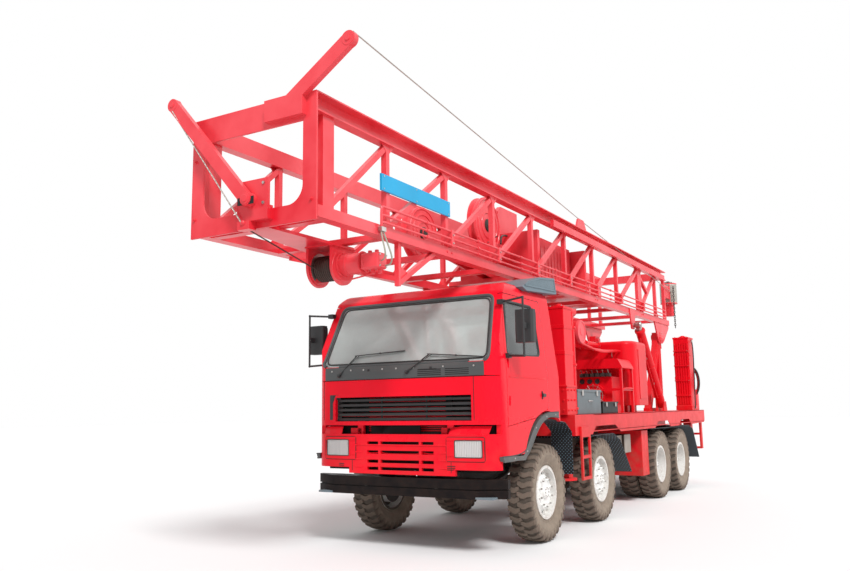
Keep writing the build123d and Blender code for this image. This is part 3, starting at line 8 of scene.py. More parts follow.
import logging
import math
from dataclasses import dataclass
from enum import Enum
from typing import Callable, Iterable, Optional, Sequence

import bmesh
import bpy
from mathutils import Matrix, Vector
from mathutils.bvhtree import BVHTree


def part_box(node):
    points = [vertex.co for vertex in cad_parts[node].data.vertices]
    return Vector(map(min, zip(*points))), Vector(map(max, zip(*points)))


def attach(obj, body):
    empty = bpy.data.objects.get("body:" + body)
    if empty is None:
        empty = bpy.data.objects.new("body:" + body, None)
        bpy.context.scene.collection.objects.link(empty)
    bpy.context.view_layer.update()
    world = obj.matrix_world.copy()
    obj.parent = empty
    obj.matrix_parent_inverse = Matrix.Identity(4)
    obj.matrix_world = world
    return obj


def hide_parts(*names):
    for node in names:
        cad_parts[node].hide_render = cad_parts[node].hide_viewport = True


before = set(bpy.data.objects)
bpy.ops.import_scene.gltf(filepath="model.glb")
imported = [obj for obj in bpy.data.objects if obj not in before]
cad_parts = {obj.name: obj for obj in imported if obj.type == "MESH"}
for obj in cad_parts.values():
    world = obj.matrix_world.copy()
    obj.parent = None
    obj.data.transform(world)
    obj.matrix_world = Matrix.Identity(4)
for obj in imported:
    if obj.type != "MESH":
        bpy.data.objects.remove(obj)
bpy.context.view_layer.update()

log = logging.getLogger("drilling_rig")
FRONT_AXLE_X = sum(corner.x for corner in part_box("wheel_1_left")) / 2
PREFIX = "rig_"
SHARP_ANGLE = math.radians(32)
Colour = tuple[float, float, float]
SIDES = {"left": 1, "right": -1}
AHEAD, LEFT, UP = Vector((1, 0, 0)), Vector((0, 1, 0)), Vector((0, 0, 1))


def at(x: float, y: float, z: float) -> Vector:
    """Point in the frame, its x given from the front axle."""
    return Vector((FRONT_AXLE_X + x, y, z))


def line(*spots: Sequence[float]) -> list[Vector]:
    """Several such points in a row."""
    return [at(*spot) for spot in spots]


def circle(centre: Vector, axis: str, radius: float, count: int, turn: float = 0.0,
           tall: Optional[float] = None) -> list[Vector]:
    """Points evenly round a circle or an oval.

    Args:
        centre: its middle.
        axis: the axis that it faces along, X, Y or Z.
        radius: its radius along the first of the other two axes.
        count: number of points.
        turn: how far the first point is turned, in gaps between points.
        tall: its radius along the second of the other two axes, or none for a circle.

    Returns:
        The points.
    """
    across, above = (i for i, letter in enumerate("XYZ") if letter != axis)
    spots = [centre.copy() for _ in range(count)]
    for i, spot in enumerate(spots):
        angle = math.tau * (i + turn) / count
        spot[across] += radius * math.cos(angle)
        spot[above] += (tall or radius) * math.sin(angle)
    return spots


def rounded(corners: Sequence[tuple[float, float]], radius: float, steps: int = 5,
            spacing: float = 0.12) -> list[tuple[float, float]]:
    """Loop round flat corners with each one rounded and its runs divided.

    Args:
        corners: the loop's corners in order.
        radius: radius of each corner.
        steps: points round each corner.
        spacing: longest gap between points on a run.

    Returns:
        The loop's points.
    """
    loop: list[tuple[float, float]] = []
    count = len(corners)
    flat = [Vector(corner) for corner in corners]
    for i, corner in enumerate(flat):
        before, after = (flat[i - 1] - corner).normalized(), (flat[(i + 1) % count] - corner).normalized()
        start, end = corner + before * radius, corner + after * radius
        for step in range(steps + 1):
            share = step / steps
            spot = start * (1 - share) ** 2 + corner * 2 * share * (1 - share) + end * share ** 2
            loop.append(tuple(spot))
        ahead = flat[(i + 1) % count] - after * radius
        pieces = max(1, math.ceil((ahead - end).length / spacing))
        loop += [tuple(end.lerp(ahead, k / pieces)) for k in range(1, pieces)]
    return loop


class Body(Enum):
    """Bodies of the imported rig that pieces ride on."""

    CHASSIS = "chassis"
    MAST = "mast"
    WINCH = "front_winch"
    TOP_DRIVE = "top_drive"
    BARRELS = "cylinder_barrels"
    RODS = "cylinder_rods"
    DOOR_LEFT = "cab_door_left"
    DOOR_RIGHT = "cab_door_right"


class NodeBoard:
    """Adds and links nodes in one shader tree."""

    def __init__(self, tree: bpy.types.NodeTree) -> None:
        """Work on one tree."""
        self.tree = tree

    def feed(self, socket: bpy.types.NodeSocket, source: object) -> None:
        """Give a socket a number, a colour or another socket."""
        if isinstance(source, bpy.types.NodeSocket):
            self.tree.links.new(source, socket)
        elif socket.type == "RGBA" and len(source) == 3:
            socket.default_value = (*source, 1.0)
        else:
            socket.default_value = source

    def add(self, kind: str, feeds: Optional[dict] = None, **settings: object) -> bpy.types.Node:
        """Make a node.

        Args:
            kind: the node's Blender type, without its Shader prefix.
            feeds: input sockets by name or number, and what goes in.
            settings: the node's own properties.

        Returns:
            The new node.
        """
        plain = ("NodeGroupInput", "NodeGroupOutput")
        node = self.tree.nodes.new(kind if kind in plain else "Shader" + kind)
        for key, value in settings.items():
            setattr(node, key, value)
        for socket, source in (feeds or {}).items():
            self.feed(node.inputs[socket], source)
        return node

    def calc(self, operation: str, a: object, b: object = 0.0, clamp: bool = False):
        """Output of a Math node on two values."""
        return self.add("NodeMath", {0: a, 1: b}, operation=operation, use_clamp=clamp).outputs[0]

    def blend(self, share: object, a: object, b: object, mode: str = "MIX"):
        """Colour that goes from a to b by a share."""
        mix = self.add("NodeMix", {0: share, 6: a, 7: b}, data_type="RGBA", blend_type=mode)
        return mix.outputs[2]

    def noise(self, coords: object, scale: float, detail: float = 3.0, rough: float = 0.55):
        """Noise from 0 to 1 at a scale per metre."""
        node = self.add("NodeTexNoise", {"Vector": coords, "Scale": scale, "Detail": detail,
                                         "Roughness": rough})
        return node.outputs["Fac"]

    def ramp(self, value: object, low: float, high: float):
        """Value stretched so that low is 0 and high is 1, and held between."""
        node = self.add("NodeMapRange", {"Value": value, "From Min": low, "From Max": high})
        return node.outputs["Result"]


class Effects:
    """Node groups that several finishes share, each built once."""

    @staticmethod
    def _group(name: str, inputs: dict[str, float], outputs: Sequence[str]):
        """Empty group with float sockets.

        Args:
            name: the group's name.
            inputs: socket names and their defaults.
            outputs: output names.

        Returns:
            The board, the group's input node and its output node.
        """
        tree = bpy.data.node_groups.new(name, "ShaderNodeTree")
        for label, default in inputs.items():
            socket = tree.interface.new_socket(label, in_out="INPUT", socket_type="NodeSocketFloat")
            socket.default_value = default
        for label in outputs:
            tree.interface.new_socket(label, in_out="OUTPUT", socket_type="NodeSocketFloat")
        board = NodeBoard(tree)
        return board, board.add("NodeGroupInput"), board.add("NodeGroupOutput")

    @classmethod
    def weather(cls) -> bpy.types.NodeTree:
        """Grime near the road, dust on what faces up, which the enamels also use as a painted sky sheen,
        patchy fading and small chips.
        """
        name = "weather"
        if name in bpy.data.node_groups:
            return bpy.data.node_groups[name]
        board, given, result = cls._group(
            name, {"Low": 0.6, "High": 1.6, "Chip Size": 60.0}, ("Grime", "Dust", "Patch", "Chips"))
        coords = board.add("NodeTexCoord")
        place, facing = coords.outputs["Object"], coords.outputs["Normal"]
        height = board.add("NodeSeparateXYZ", {0: place}).outputs["Z"]
        up = board.calc("MAXIMUM", board.add("NodeSeparateXYZ", {0: facing}).outputs["Z"], 0.0)
        broad = board.noise(place, 1.1, 4.0, 0.6)
        middle = board.noise(place, 7.0, 5.0, 0.65)
        span = board.calc("SUBTRACT", given.outputs["High"], given.outputs["Low"])
        depth = board.calc("DIVIDE", board.calc("SUBTRACT", given.outputs["High"], height), span, True)
        grime = board.calc("MULTIPLY", depth, board.ramp(middle, 0.3, 0.75), True)
        dust = board.calc("MULTIPLY", board.calc("POWER", up, 2.0), board.ramp(middle, 0.25, 0.7), True)
        chips = board.ramp(board.noise(place, 38.0, 6.0, 0.75), 0.69, 0.74)
        board.feed(result.inputs["Grime"], grime)
        board.feed(result.inputs["Dust"], dust)
        board.feed(result.inputs["Patch"], board.ramp(broad, 0.35, 0.7))
        board.feed(result.inputs["Chips"], chips)
        return bpy.data.node_groups[name]


def new_material(name: str) -> tuple[bpy.types.Material, NodeBoard, bpy.types.Node]:
    """Material with a bare principled shader.

    Returns:
        The material, its board and the shader node.
    """
    material = bpy.data.materials.new(PREFIX + name)
    material.use_nodes = True
    board = NodeBoard(material.node_tree)
    return material, board, material.node_tree.nodes["Principled BSDF"]


@dataclass(frozen=True)
class Enamel:
    """Sprayed paint, dusty and paler above, partly a painted sky sheen, with faded patches, and grimy near
    the road.
    """

    name: str
    colour: Colour
    faded: Colour
    dirt: Colour = (0.20, 0.12, 0.08)
    roughness: float = 0.3
    shine: float = 0.3
    bleach: float = 0.0
    coat: float = 0.5
    dust_and_sheen: float = 0.35
    grime: float = 0.5
    grime_height: float = 1.5
    chips: float = 0.35

    def build(self) -> bpy.types.Material:
        """Make the material."""
        material, board, shader = new_material(self.name)
        weather = board.add("NodeGroup", node_tree=Effects.weather())
        board.feed(weather.inputs["High"], self.grime_height)
        place = board.add("NodeTexCoord").outputs["Object"]
        masks = weather.outputs
        deep = tuple(channel * 0.62 for channel in self.colour)
        body = board.blend(board.calc("MULTIPLY", masks["Patch"], 0.45), self.colour, deep)
        pale = board.calc("SUBTRACT", 1.0, masks["Patch"])
        body = board.blend(board.calc("MULTIPLY", pale, self.bleach), body, self.faded)
        # tops go pale toward the faded colour: partly dust, partly painted sheen of the bright sky
        body = board.blend(board.calc("MULTIPLY", masks["Dust"], self.dust_and_sheen), body, self.faded)
        body = board.blend(board.calc("MULTIPLY", masks["Chips"], self.chips), body, self.faded)
        body = board.blend(board.calc("MULTIPLY", masks["Grime"], self.grime), body, self.dirt)
        rough = board.calc("MULTIPLY_ADD", masks["Grime"], 0.4)
        board.feed(rough.node.inputs[2], self.roughness)
        ripple = board.noise(place, 2.2, 2.0)
        peel = board.noise(place, 150.0, 3.0)
        height = board.calc("ADD", board.calc("MULTIPLY", ripple, 1.0), board.calc("MULTIPLY", peel, 0.05))
        bump = board.add("NodeBump", {"Height": height, "Strength": 0.25, "Distance": 0.012})
        board.feed(shader.inputs["Base Color"], body)
        board.feed(shader.inputs["Roughness"], rough)
        board.feed(shader.inputs["Normal"], bump.outputs["Normal"])
        shader.inputs["Specular IOR Level"].default_value = self.shine
        shader.inputs["Coat Weight"].default_value = self.coat
        shader.inputs["Coat Roughness"].default_value = 0.12
        return material


@dataclass(frozen=True)
class Tread:
    """Dusty tyre rubber: near black in the grooves, deepened there as painted shade, brown on the lugs, pale
    on the walls.
    """

    name: str
    shaded_groove: Colour = (0.022, 0.018, 0.015)
    lug: Colour = (0.13, 0.092, 0.07)
    wall: Colour = (0.27, 0.215, 0.165)

    def build(self) -> bpy.types.Material:
        """Make the material."""
        material, board, shader = new_material(self.name)
        place = board.add("NodeTexCoord").outputs["Object"]
        tone = board.add("NodeAttribute", attribute_name="tone").outputs["Fac"]
        fine = board.noise(place, 55.0, 6.0, 0.7)
        patch = board.noise(place, 9.0, 4.0, 0.6)
        # tone 0 takes the groove colour: dark rubber with painted shade in the grooves
        colour = board.blend(board.ramp(tone, 0.0, 0.5), self.shaded_groove, self.lug)
        colour = board.blend(board.ramp(tone, 0.5, 1.0), colour, self.wall)
        dry = board.calc("MULTIPLY", board.ramp(patch, 0.35, 0.7), 0.45)
        colour = board.blend(dry, colour, tuple(channel * 0.5 for channel in self.lug))
        colour = board.blend(board.calc("MULTIPLY", fine, 0.3), colour, (0.3, 0.24, 0.19))
        bump = board.add("NodeBump", {"Height": fine, "Strength": 0.35, "Distance": 0.003})
        board.feed(shader.inputs["Base Color"], colour)
        board.feed(shader.inputs["Normal"], bump.outputs["Normal"])
        shader.inputs["Roughness"].default_value = 0.88
        return material


@dataclass(frozen=True)
class Metal:
    """Bare, plated or silver-painted metal with dirt gathered by tone or height."""

    name: str
    colour: Colour
    dirt: Colour = (0.19, 0.14, 0.10)
    metallic: float = 0.6
    roughness: float = 0.38
    spread: float = 0.5
    grain: float = 40.0

    def build(self) -> bpy.types.Material:
        """Make the material."""
        material, board, shader = new_material(self.name)
        place = board.add("NodeTexCoord").outputs["Object"]
        tone = board.add("NodeAttribute", attribute_name="tone").outputs["Fac"]
        blotch = board.noise(place, 13.0, 6.0, 0.7)
        fine = board.noise(place, self.grain, 5.0, 0.65)
        mask = board.calc("ADD", board.ramp(blotch, 0.52, 0.8), tone)
        mask = board.calc("MULTIPLY", board.calc("MULTIPLY", mask, self.spread),
                          board.ramp(fine, 0.2, 0.65), True)
        board.feed(shader.inputs["Base Color"], board.blend(mask, self.colour, self.dirt))
        rough = board.calc("MULTIPLY_ADD", mask, 0.4)
        board.feed(rough.node.inputs[2], self.roughness)
        board.feed(shader.inputs["Roughness"], rough)
        bump = board.add("NodeBump", {"Height": fine, "Strength": 0.2, "Distance": 0.002})
        board.feed(shader.inputs["Normal"], bump.outputs["Normal"])
        shader.inputs["Metallic"].default_value = self.metallic
        return material


@dataclass(frozen=True)
class Moulding:
    """Moulded plastic or rubber trim with a fine grain, dusty where it faces up."""

    name: str
    colour: Colour
    dusty: Colour = (0.30, 0.26, 0.22)
    roughness: float = 0.55
    dust: float = 0.35
    grain: float = 300.0

    def build(self) -> bpy.types.Material:
        """Make the material."""
        material, board, shader = new_material(self.name)
        weather = board.add("NodeGroup", node_tree=Effects.weather())
        place = board.add("NodeTexCoord").outputs["Object"]
        fine = board.noise(place, self.grain, 2.0)
        patch = board.noise(place, 5.0, 4.0, 0.6)
        colour = board.blend(board.calc("MULTIPLY", patch, 0.5), self.colour,
                             tuple(channel * 1.6 + 0.01 for channel in self.colour))
        mask = board.calc("MAXIMUM", weather.outputs["Dust"], weather.outputs["Grime"])
        colour = board.blend(board.calc("MULTIPLY", mask, self.dust), colour, self.dusty)
        bump = board.add("NodeBump", {"Height": fine, "Strength": 0.18, "Distance": 0.001})
        rough = board.calc("MULTIPLY_ADD", patch, 0.15)
        board.feed(rough.node.inputs[2], self.roughness - 0.07)
        board.feed(shader.inputs["Base Color"], colour)
        board.feed(shader.inputs["Roughness"], rough)
        board.feed(shader.inputs["Normal"], bump.outputs["Normal"])
        return material


@dataclass(frozen=True)
class Perforated:
    """Sheet with rows of small punched holes, drawn across one plane."""

    name: str
    colour: Colour
    hole: Colour
    pitch: float
    normal_axis: str = "Y"
    share: float = 0.3

    def build(self) -> bpy.types.Material:
        """Make the material."""
        material, board, shader = new_material(self.name)
        place = board.add("NodeTexCoord").outputs["Object"]
        parts = board.add("NodeSeparateXYZ", {0: place}).outputs
        across = [axis for axis in "XYZ" if axis != self.normal_axis]
        waves = []
        for axis in across:
            turn = board.calc("MULTIPLY", parts[axis], math.tau / self.pitch)
            waves.append(board.calc("SINE", turn))
        dots = board.ramp(board.calc("MULTIPLY", *waves), self.share, self.share + 0.3)
        patch = board.noise(place, 6.0, 4.0)
        base = board.blend(board.calc("MULTIPLY", patch, 0.5), self.colour,
                           tuple(channel * 0.7 for channel in self.colour))
        board.feed(shader.inputs["Base Color"], board.blend(dots, base, self.hole))
        bump = board.add("NodeBump", {"Height": board.calc("SUBTRACT", 1.0, dots), "Strength": 0.6,
                                      "Distance": 0.002})
        board.feed(shader.inputs["Normal"], bump.outputs["Normal"])
        board.feed(shader.inputs["Roughness"], board.calc("MULTIPLY_ADD", patch, 0.2))
        shader.inputs["Roughness"].links[0].from_node.inputs[2].default_value = 0.45
        return material


@dataclass(frozen=True)
class Pane:
    """Window or lamp glass with a thin film of dust."""

    name: str
    colour: Colour
    transmission: float = 0.8
    film: Colour = (0.55, 0.56, 0.54)
    haze: float = 0.3
    flute: float = 0.0

    def build(self) -> bpy.types.Material:
        """Make the material."""
        material, board, shader = new_material(self.name)
        place = board.add("NodeTexCoord").outputs["Object"]
        patch = board.ramp(board.noise(place, 2.4, 5.0, 0.6), 0.35, 0.75)
        share = board.calc("MULTIPLY", patch, self.haze)
        board.feed(shader.inputs["Base Color"], board.blend(share, self.colour, self.film))
        rough = board.calc("MULTIPLY_ADD", patch, 0.08)
        board.feed(rough.node.inputs[2], 0.03)
        board.feed(shader.inputs["Roughness"], rough)
        if self.flute:
            across = board.add("NodeSeparateXYZ", {0: place}).outputs["Y"]
            wave = board.calc("SINE", board.calc("MULTIPLY", across, math.tau / self.flute))
            bump = board.add("NodeBump", {"Height": wave, "Strength": 0.7, "Distance": 0.004})
            board.feed(shader.inputs["Normal"], bump.outputs["Normal"])
        shader.inputs["Transmission Weight"].default_value = self.transmission
        shader.inputs["IOR"].default_value = 1.45
        return material


class Finish(Enum):
    """Every finish on the rig."""

    CAB_RED = Enamel("cab_red", (0.90, 0.003, 0.020), (0.85, 0.12, 0.14), roughness=0.26, shine=0.12,
                     coat=0.08, dust_and_sheen=0.35, grime=0.25, chips=0.2)
    MAST_RED = Enamel("mast_red", (0.80, 0.010, 0.026), (0.85, 0.22, 0.24), roughness=0.36, shine=0.30,
                      bleach=0.30, coat=0.18, dust_and_sheen=0.60, grime=0.0, chips=0.5)
    DECK_RED = Enamel("deck_red", (0.76, 0.006, 0.016), (0.82, 0.18, 0.19), roughness=0.32, shine=0.14,
                      coat=0.08, dust_and_sheen=0.40, grime=0.50, grime_height=1.9, chips=0.4)
    BLACK_PAINT = Enamel("black_paint", (0.005, 0.004, 0.005), (0.07, 0.06, 0.05), roughness=0.30,
                         shine=0.10, coat=0.0, dust_and_sheen=0.15, grime=0.1, chips=0.05)
    CHASSIS_BLACK = Enamel("chassis_black", (0.012, 0.010, 0.009), (0.07, 0.05, 0.045), roughness=0.6,
                           coat=0.0, dust_and_sheen=0.6, grime=0.6, chips=0.4)
    GREY_PAINT = Enamel("grey_paint", (0.120, 0.150, 0.165), (0.22, 0.24, 0.25), (0.2, 0.15, 0.12),
                        roughness=0.42, coat=0.1, dust_and_sheen=0.5, grime=0.3, grime_height=2.2)
    BLUE_BOARD = Enamel("blue_board", (0.002, 0.36, 0.66), (0.2, 0.5, 0.6), roughness=0.35, shine=0.2,
                        coat=0.1, dust_and_sheen=0.3, grime=0.0, chips=0.5)
    PALE_PLATE = Enamel("pale_plate", (0.36, 0.32, 0.28), (0.5, 0.46, 0.40), roughness=0.45, coat=0.0,
                        grime=0.5)
    TYRE = Tread("tyre_rubber")
    WHEEL_SILVER = Metal("wheel_silver", (0.80, 0.80, 0.78), (0.33, 0.25, 0.19), metallic=0.1,
                         roughness=0.42, spread=0.55)
    CAST = Metal("cast_iron", (0.035, 0.030, 0.027), metallic=0.3, roughness=0.62, spread=0.6)
    STEEL = Metal("worn_steel", (0.46, 0.44, 0.42), metallic=0.9, roughness=0.3, spread=0.4)
    ROPE = Metal("wire_rope", (0.45, 0.42, 0.38), (0.12, 0.09, 0.07), metallic=0.6, roughness=0.5,
                 spread=0.6, grain=160.0)
    CHROME = Metal("reflector", (0.9, 0.9, 0.9), metallic=1.0, roughness=0.12, spread=0.05)
    BLACK_TRIM = Moulding("black_trim", (0.016, 0.016, 0.017), dust=0.25)
    GREY_SEAL = Moulding("grey_seal", (0.050, 0.056, 0.058), roughness=0.5, dust=0.25)
    GREY_TRIM = Moulding("grey_trim", (0.100, 0.145, 0.175), roughness=0.5, dust=0.3)
    HOSE = Moulding("hose_rubber", (0.02, 0.02, 0.02), roughness=0.45, dust=0.3)
    WOUND = Metal("wound_rope_steel", (0.055, 0.032, 0.026), (0.02, 0.012, 0.010), metallic=0.4,
                  roughness=0.5, spread=0.6, grain=160.0)
    PALE_HOSE = Moulding("pale_hose", (0.30, 0.29, 0.23), roughness=0.55, dust=0.3)
    COWL = Moulding("cowl_plastic", (0.048, 0.052, 0.053), roughness=0.45, dust=0.35)
    # near black: painted shade in holes, slots and recesses, and the dark of seams and gaps
    DARK = Moulding("shade_and_seam_dark", (0.006, 0.006, 0.006), roughness=0.9, dust=0.1)
    CAB_CLOTH = Moulding("cab_cloth", (0.10, 0.105, 0.11), roughness=0.9, dust=0.1, grain=900.0)
    DASH = Moulding("dash_plastic", (0.12, 0.125, 0.13), roughness=0.6, dust=0.15)
    LINER = Perforated("liner_sheet", (0.014, 0.015, 0.017), (0.22, 0.35, 0.45), 0.045, "X", 0.62)
    # its dark hole colour is painted shade behind the perforations
    HOOD_MESH = Perforated("hood_mesh", (0.14, 0.20, 0.235), (0.04, 0.06, 0.08), 0.024, "Y", 0.25)
    GLASS = Pane("screen_glass", (0.78, 0.84, 0.82), transmission=0.62, haze=0.5)
    SIDE_GLASS = Pane("side_glass", (0.16, 0.18, 0.185), transmission=0.6, haze=0.15)
    LENS = Pane("lamp_lens", (0.93, 0.91, 0.90), transmission=0.45, haze=0.1, flute=0.02)
    TAIL_RED = Pane("tail_red", (0.70, 0.02, 0.02), transmission=0.3, haze=0.2)
    TAIL_AMBER = Pane("tail_amber", (0.85, 0.32, 0.03), transmission=0.3, haze=0.2)
    MIRROR = Metal("mirror_face", (0.85, 0.87, 0.88), metallic=1.0, roughness=0.04, spread=0.05)

    def material(self) -> bpy.types.Material:
        """The finish's material, made when it is first asked for."""
        return bpy.data.materials.get(PREFIX + self.value.name) or self.value.build()


Painter = Callable[[bmesh.types.BMFace], Finish]
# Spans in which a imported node's faces get another finish, x from the front axle
Span = tuple[float, float]
SIGN_BOARD_X, SIGN_BOARD_Z = (1.38, 2.76), (3.63, 3.83)
REAR_DRUM_X, REAR_DRUM_Z = (-9.0, -8.2), (3.72, 4.12)
DECK_TOP_Z, LOW_BOX_X = 1.42, -2.26
PLATE_TANK_X, PLATE_Y, RED_TANK_X = (-3.70, -3.30), 1.05, -2.6
RECESS_X, RECESS_Y, RECESS_TOP = (-4.28, -3.75), (0.23, 0.83), 1.62
CAB_MIDDLE = (0.35, 0, 2.15)
CAB_REACH_X, CAB_REACH_Y, CAB_FLOOR = 1.4, 1.2, -0.62
WINCH_X, WINCH_Z, WINCH_SHAFT = 2.655, 2.955, 0.06


def within(value: float, span: Span) -> bool:
    """Whether a value lies inside a span."""
    return span[0] < value < span[1]


def spot_of(face: bmesh.types.BMFace) -> Vector:
    """Middle of a face, its x measured from the front axle."""
    return face.calc_center_median() - at(0, 0, 0)


def paint_fittings(face: bmesh.types.BMFace) -> Finish:
    """Blue for the blank sign board, rope for the rear drum, red for the rest of the mast's fittings."""
    spot = spot_of(face)
    if within(spot.x, SIGN_BOARD_X) and within(spot.z, SIGN_BOARD_Z):
        return Finish.BLUE_BOARD
    if within(spot.x, REAR_DRUM_X) and within(spot.z, REAR_DRUM_Z):
        return Finish.ROPE
    return Finish.MAST_RED


def paint_boxes(face: bmesh.types.BMFace) -> Finish:
    """Grey deck boxes, a black low one, and red tanks among dark gear under the deck."""
    spot = spot_of(face)
    if spot.z > DECK_TOP_Z:
        return Finish.BLACK_PAINT if spot.x < LOW_BOX_X else Finish.GREY_PAINT
    if within(spot.x, PLATE_TANK_X):
        return Finish.PALE_PLATE if abs(spot.y) > PLATE_Y else Finish.CHASSIS_BLACK
    return Finish.DECK_RED if spot.x < RED_TANK_X else Finish.CHASSIS_BLACK


def paint_machinery(face: bmesh.types.BMFace) -> Finish:
    """Dark cast finish low inside the canopy's frame, painted shade for that recess; red for the rest."""
    spot = spot_of(face)
    low = within(spot.x, RECESS_X) and within(spot.y, RECESS_Y) and spot.z < RECESS_TOP
    return Finish.CAST if low else Finish.DECK_RED


def paint_shell(face: bmesh.types.BMFace) -> Finish:
    """Red outside the cab, grey lining inside it."""
    spot = face.calc_center_median() - at(*CAB_MIDDLE)
    across = spot.x * face.normal.x / CAB_REACH_X + spot.y * face.normal.y / CAB_REACH_Y
    inside = across + spot.z * face.normal.z < 0
    return Finish.GREY_TRIM if inside and spot.z > CAB_FLOOR else Finish.CAB_RED


def paint_winch(face: bmesh.types.BMFace) -> Finish:
    """Bare steel shaft between red flanges."""
    spot = face.calc_center_median() - at(WINCH_X, 0, WINCH_Z)
    return Finish.STEEL if math.hypot(spot.x, spot.z) < WINCH_SHAFT else Finish.MAST_RED


def oblong(a: Span, b: Span, sign: int = 1) -> list[tuple[float, float]]:
    """Corners of a rectangle in order, its first measure mirrored where the sign is -1."""
    return [(sign * a[0], b[0]), (sign * a[1], b[0]), (sign * a[1], b[1]), (sign * a[0], b[1])]


def turned(along: Vector, across: Optional[Vector] = None) -> Matrix:
    """Rotation whose Z runs along one direction and X as near as can be across it."""
    z = along.normalized()
    hint = across or (UP if abs(z.z) < 0.9 else AHEAD)
    x = (hint - z * hint.dot(z)).normalized()
    return Matrix((x, z.cross(x), z)).transposed().to_4x4()


class Shape:
    """One piece's mesh while it is built, in metres in the rig's frame."""

    def __init__(self) -> None:
        """Start empty."""
        self.bm = bmesh.new()
        self.tone = self.bm.verts.layers.float.new("tone")
        self.finishes: list[Finish] = []

    def _slot(self, finish: Finish) -> int:
        """Number of a finish's material slot, added when new."""
        if finish not in self.finishes:
            self.finishes.append(finish)
        return self.finishes.index(finish)

    def take(self, part: bmesh.types.BMesh, finish: Finish | Painter, bevel: float = 0.0,
             segments: int = 2) -> "Shape":
        """Round a part's hard edges, paint it and take it into the piece.

        Args:
            part: the part's own bmesh, freed here.
            finish: one finish, or a function that gives each face its own.
            bevel: width of the rounding, or 0 for none.
            segments: steps of the rounding.

        Returns:
            The shape itself.
        """
        if bevel:
            hard = [edge for edge in part.edges
                    if edge.is_manifold and edge.calc_face_angle(0.0) > SHARP_ANGLE]
            bmesh.ops.bevel(part, geom=hard, offset=bevel, offset_type="OFFSET", segments=segments,
                            profile=0.5, affect="EDGES", material=-1, clamp_overlap=True)
        part.normal_update()
        for face in part.faces:
            chosen = finish if isinstance(finish, Finish) else finish(face)
            face.material_index = self._slot(chosen)
            face.smooth = True
        mesh = bpy.data.meshes.new("part")
        part.to_mesh(mesh)
        part.free()
        self.bm.from_mesh(mesh)
        bpy.data.meshes.remove(mesh)
        return self

    def box(self, lo: Sequence[float], hi: Sequence[float], finish: Finish, bevel: float = 0.004,
            turn: Optional[Matrix] = None) -> "Shape":
        """Block between any two opposite corners, turned about its middle if a turn is given."""
        lo, hi = (Vector([pick(pair) for pair in zip(lo, hi)]) for pick in (min, max))
        part = bmesh.new()
        size = Matrix.Diagonal((*(hi - lo), 1.0))
        place = Matrix.Translation((lo + hi) / 2) @ (turn or Matrix.Identity(4)) @ size
        bmesh.ops.create_cube(part, size=1.0, matrix=place)
        bmesh.ops.recalc_face_normals(part, faces=part.faces)
        return self.take(part, finish, bevel)

    def bar(self, a: Vector, b: Vector, width: float, depth: float, finish: Finish,
            across: Vector = LEFT, bevel: float = 0.004) -> "Shape":
        """Square-edged bar from a to b, its width measured across."""
        part = bmesh.new()
        run = b - a
        place = Matrix.Translation((a + b) / 2) @ turned(run, across)
        bmesh.ops.create_cube(part, size=1.0, matrix=place @ Matrix.Diagonal((width, depth, run.length, 1)))
        return self.take(part, finish, bevel)

    def rod(self, a: Vector, b: Vector, radius: float, finish: Finish, sides: int = 20,
            end_radius: Optional[float] = None, bevel: float = 0.0) -> "Shape":
        """Round bar or cone from a to b."""
        part = bmesh.new()
        run = b - a
        bmesh.ops.create_cone(part, cap_ends=True, segments=sides, radius1=radius,
                              radius2=radius if end_radius is None else end_radius,
                              depth=run.length, matrix=Matrix.Translation((a + b) / 2) @ turned(run))
        return self.take(part, finish, bevel)

    def lathe(self, profile: Sequence[tuple[float, float]], origin: Vector, axis: Vector,
              finish: Finish | Painter, sides: int = 32, closed: bool = False, bevel: float = 0.0) -> "Shape":
        """Turned part about an axis.

        Args:
            profile: (radius, distance along the axis) of each corner.
            origin: where the distance is 0.
            axis: direction of the axis.
            finish: the part's finish.
            sides: steps round the axis.
            closed: whether the profile is a closed loop, as a ring's is.
            bevel: rounding of its hard edges.

        Returns:
            The shape itself.
        """
        part = bmesh.new()
        verts = [part.verts.new((radius, 0.0, reach)) for radius, reach in profile]
        pairs = list(zip(verts, verts[1:])) + ([(verts[-1], verts[0])] if closed else [])
        edges = [part.edges.new(pair) for pair in pairs]
        bmesh.ops.spin(part, geom=verts + edges, cent=(0, 0, 0), axis=(0, 0, 1), angle=math.tau,
                       steps=sides, use_merge=True)
        bmesh.ops.remove_doubles(part, verts=part.verts, dist=1e-5)
        bmesh.ops.recalc_face_normals(part, faces=part.faces)
        bmesh.ops.transform(part, matrix=Matrix.Translation(origin) @ turned(axis), verts=part.verts)
        return self.take(part, finish, bevel)

    def plate(self, corners: Sequence[Vector], thickness: Vector, finish: Finish,
              bevel: float = 0.003) -> "Shape":
        """Flat plate from its corners, thickened along a vector."""
        part = bmesh.new()
        face = part.faces.new([part.verts.new(corner) for corner in corners])
        grown = bmesh.ops.extrude_face_region(part, geom=[face])["geom"]
        bmesh.ops.translate(part, vec=thickness,
                            verts=[item for item in grown if isinstance(item, bmesh.types.BMVert)])
        bmesh.ops.recalc_face_normals(part, faces=part.faces)
        return self.take(part, finish, bevel)

    def pipe(self, points: Sequence[Vector], radius: float, finish: Finish, closed: bool = False,
             order: int = 3, steps: int = 6) -> "Shape":
        """Round pipe or seal that follows a smooth line through or near its points."""
        curve = smooth_line("pipe", points, radius, closed, order, steps)
        holder = bpy.data.objects.new("pipe", curve)
        mesh = bpy.data.meshes.new_from_object(holder)
        part = bmesh.new()
        part.from_mesh(mesh)
        bmesh.ops.remove_doubles(part, verts=part.verts, dist=1e-5)
        bmesh.ops.recalc_face_normals(part, faces=part.faces)
        bpy.data.objects.remove(holder)
        bpy.data.curves.remove(curve)
        bpy.data.meshes.remove(mesh)
        return self.take(part, finish)

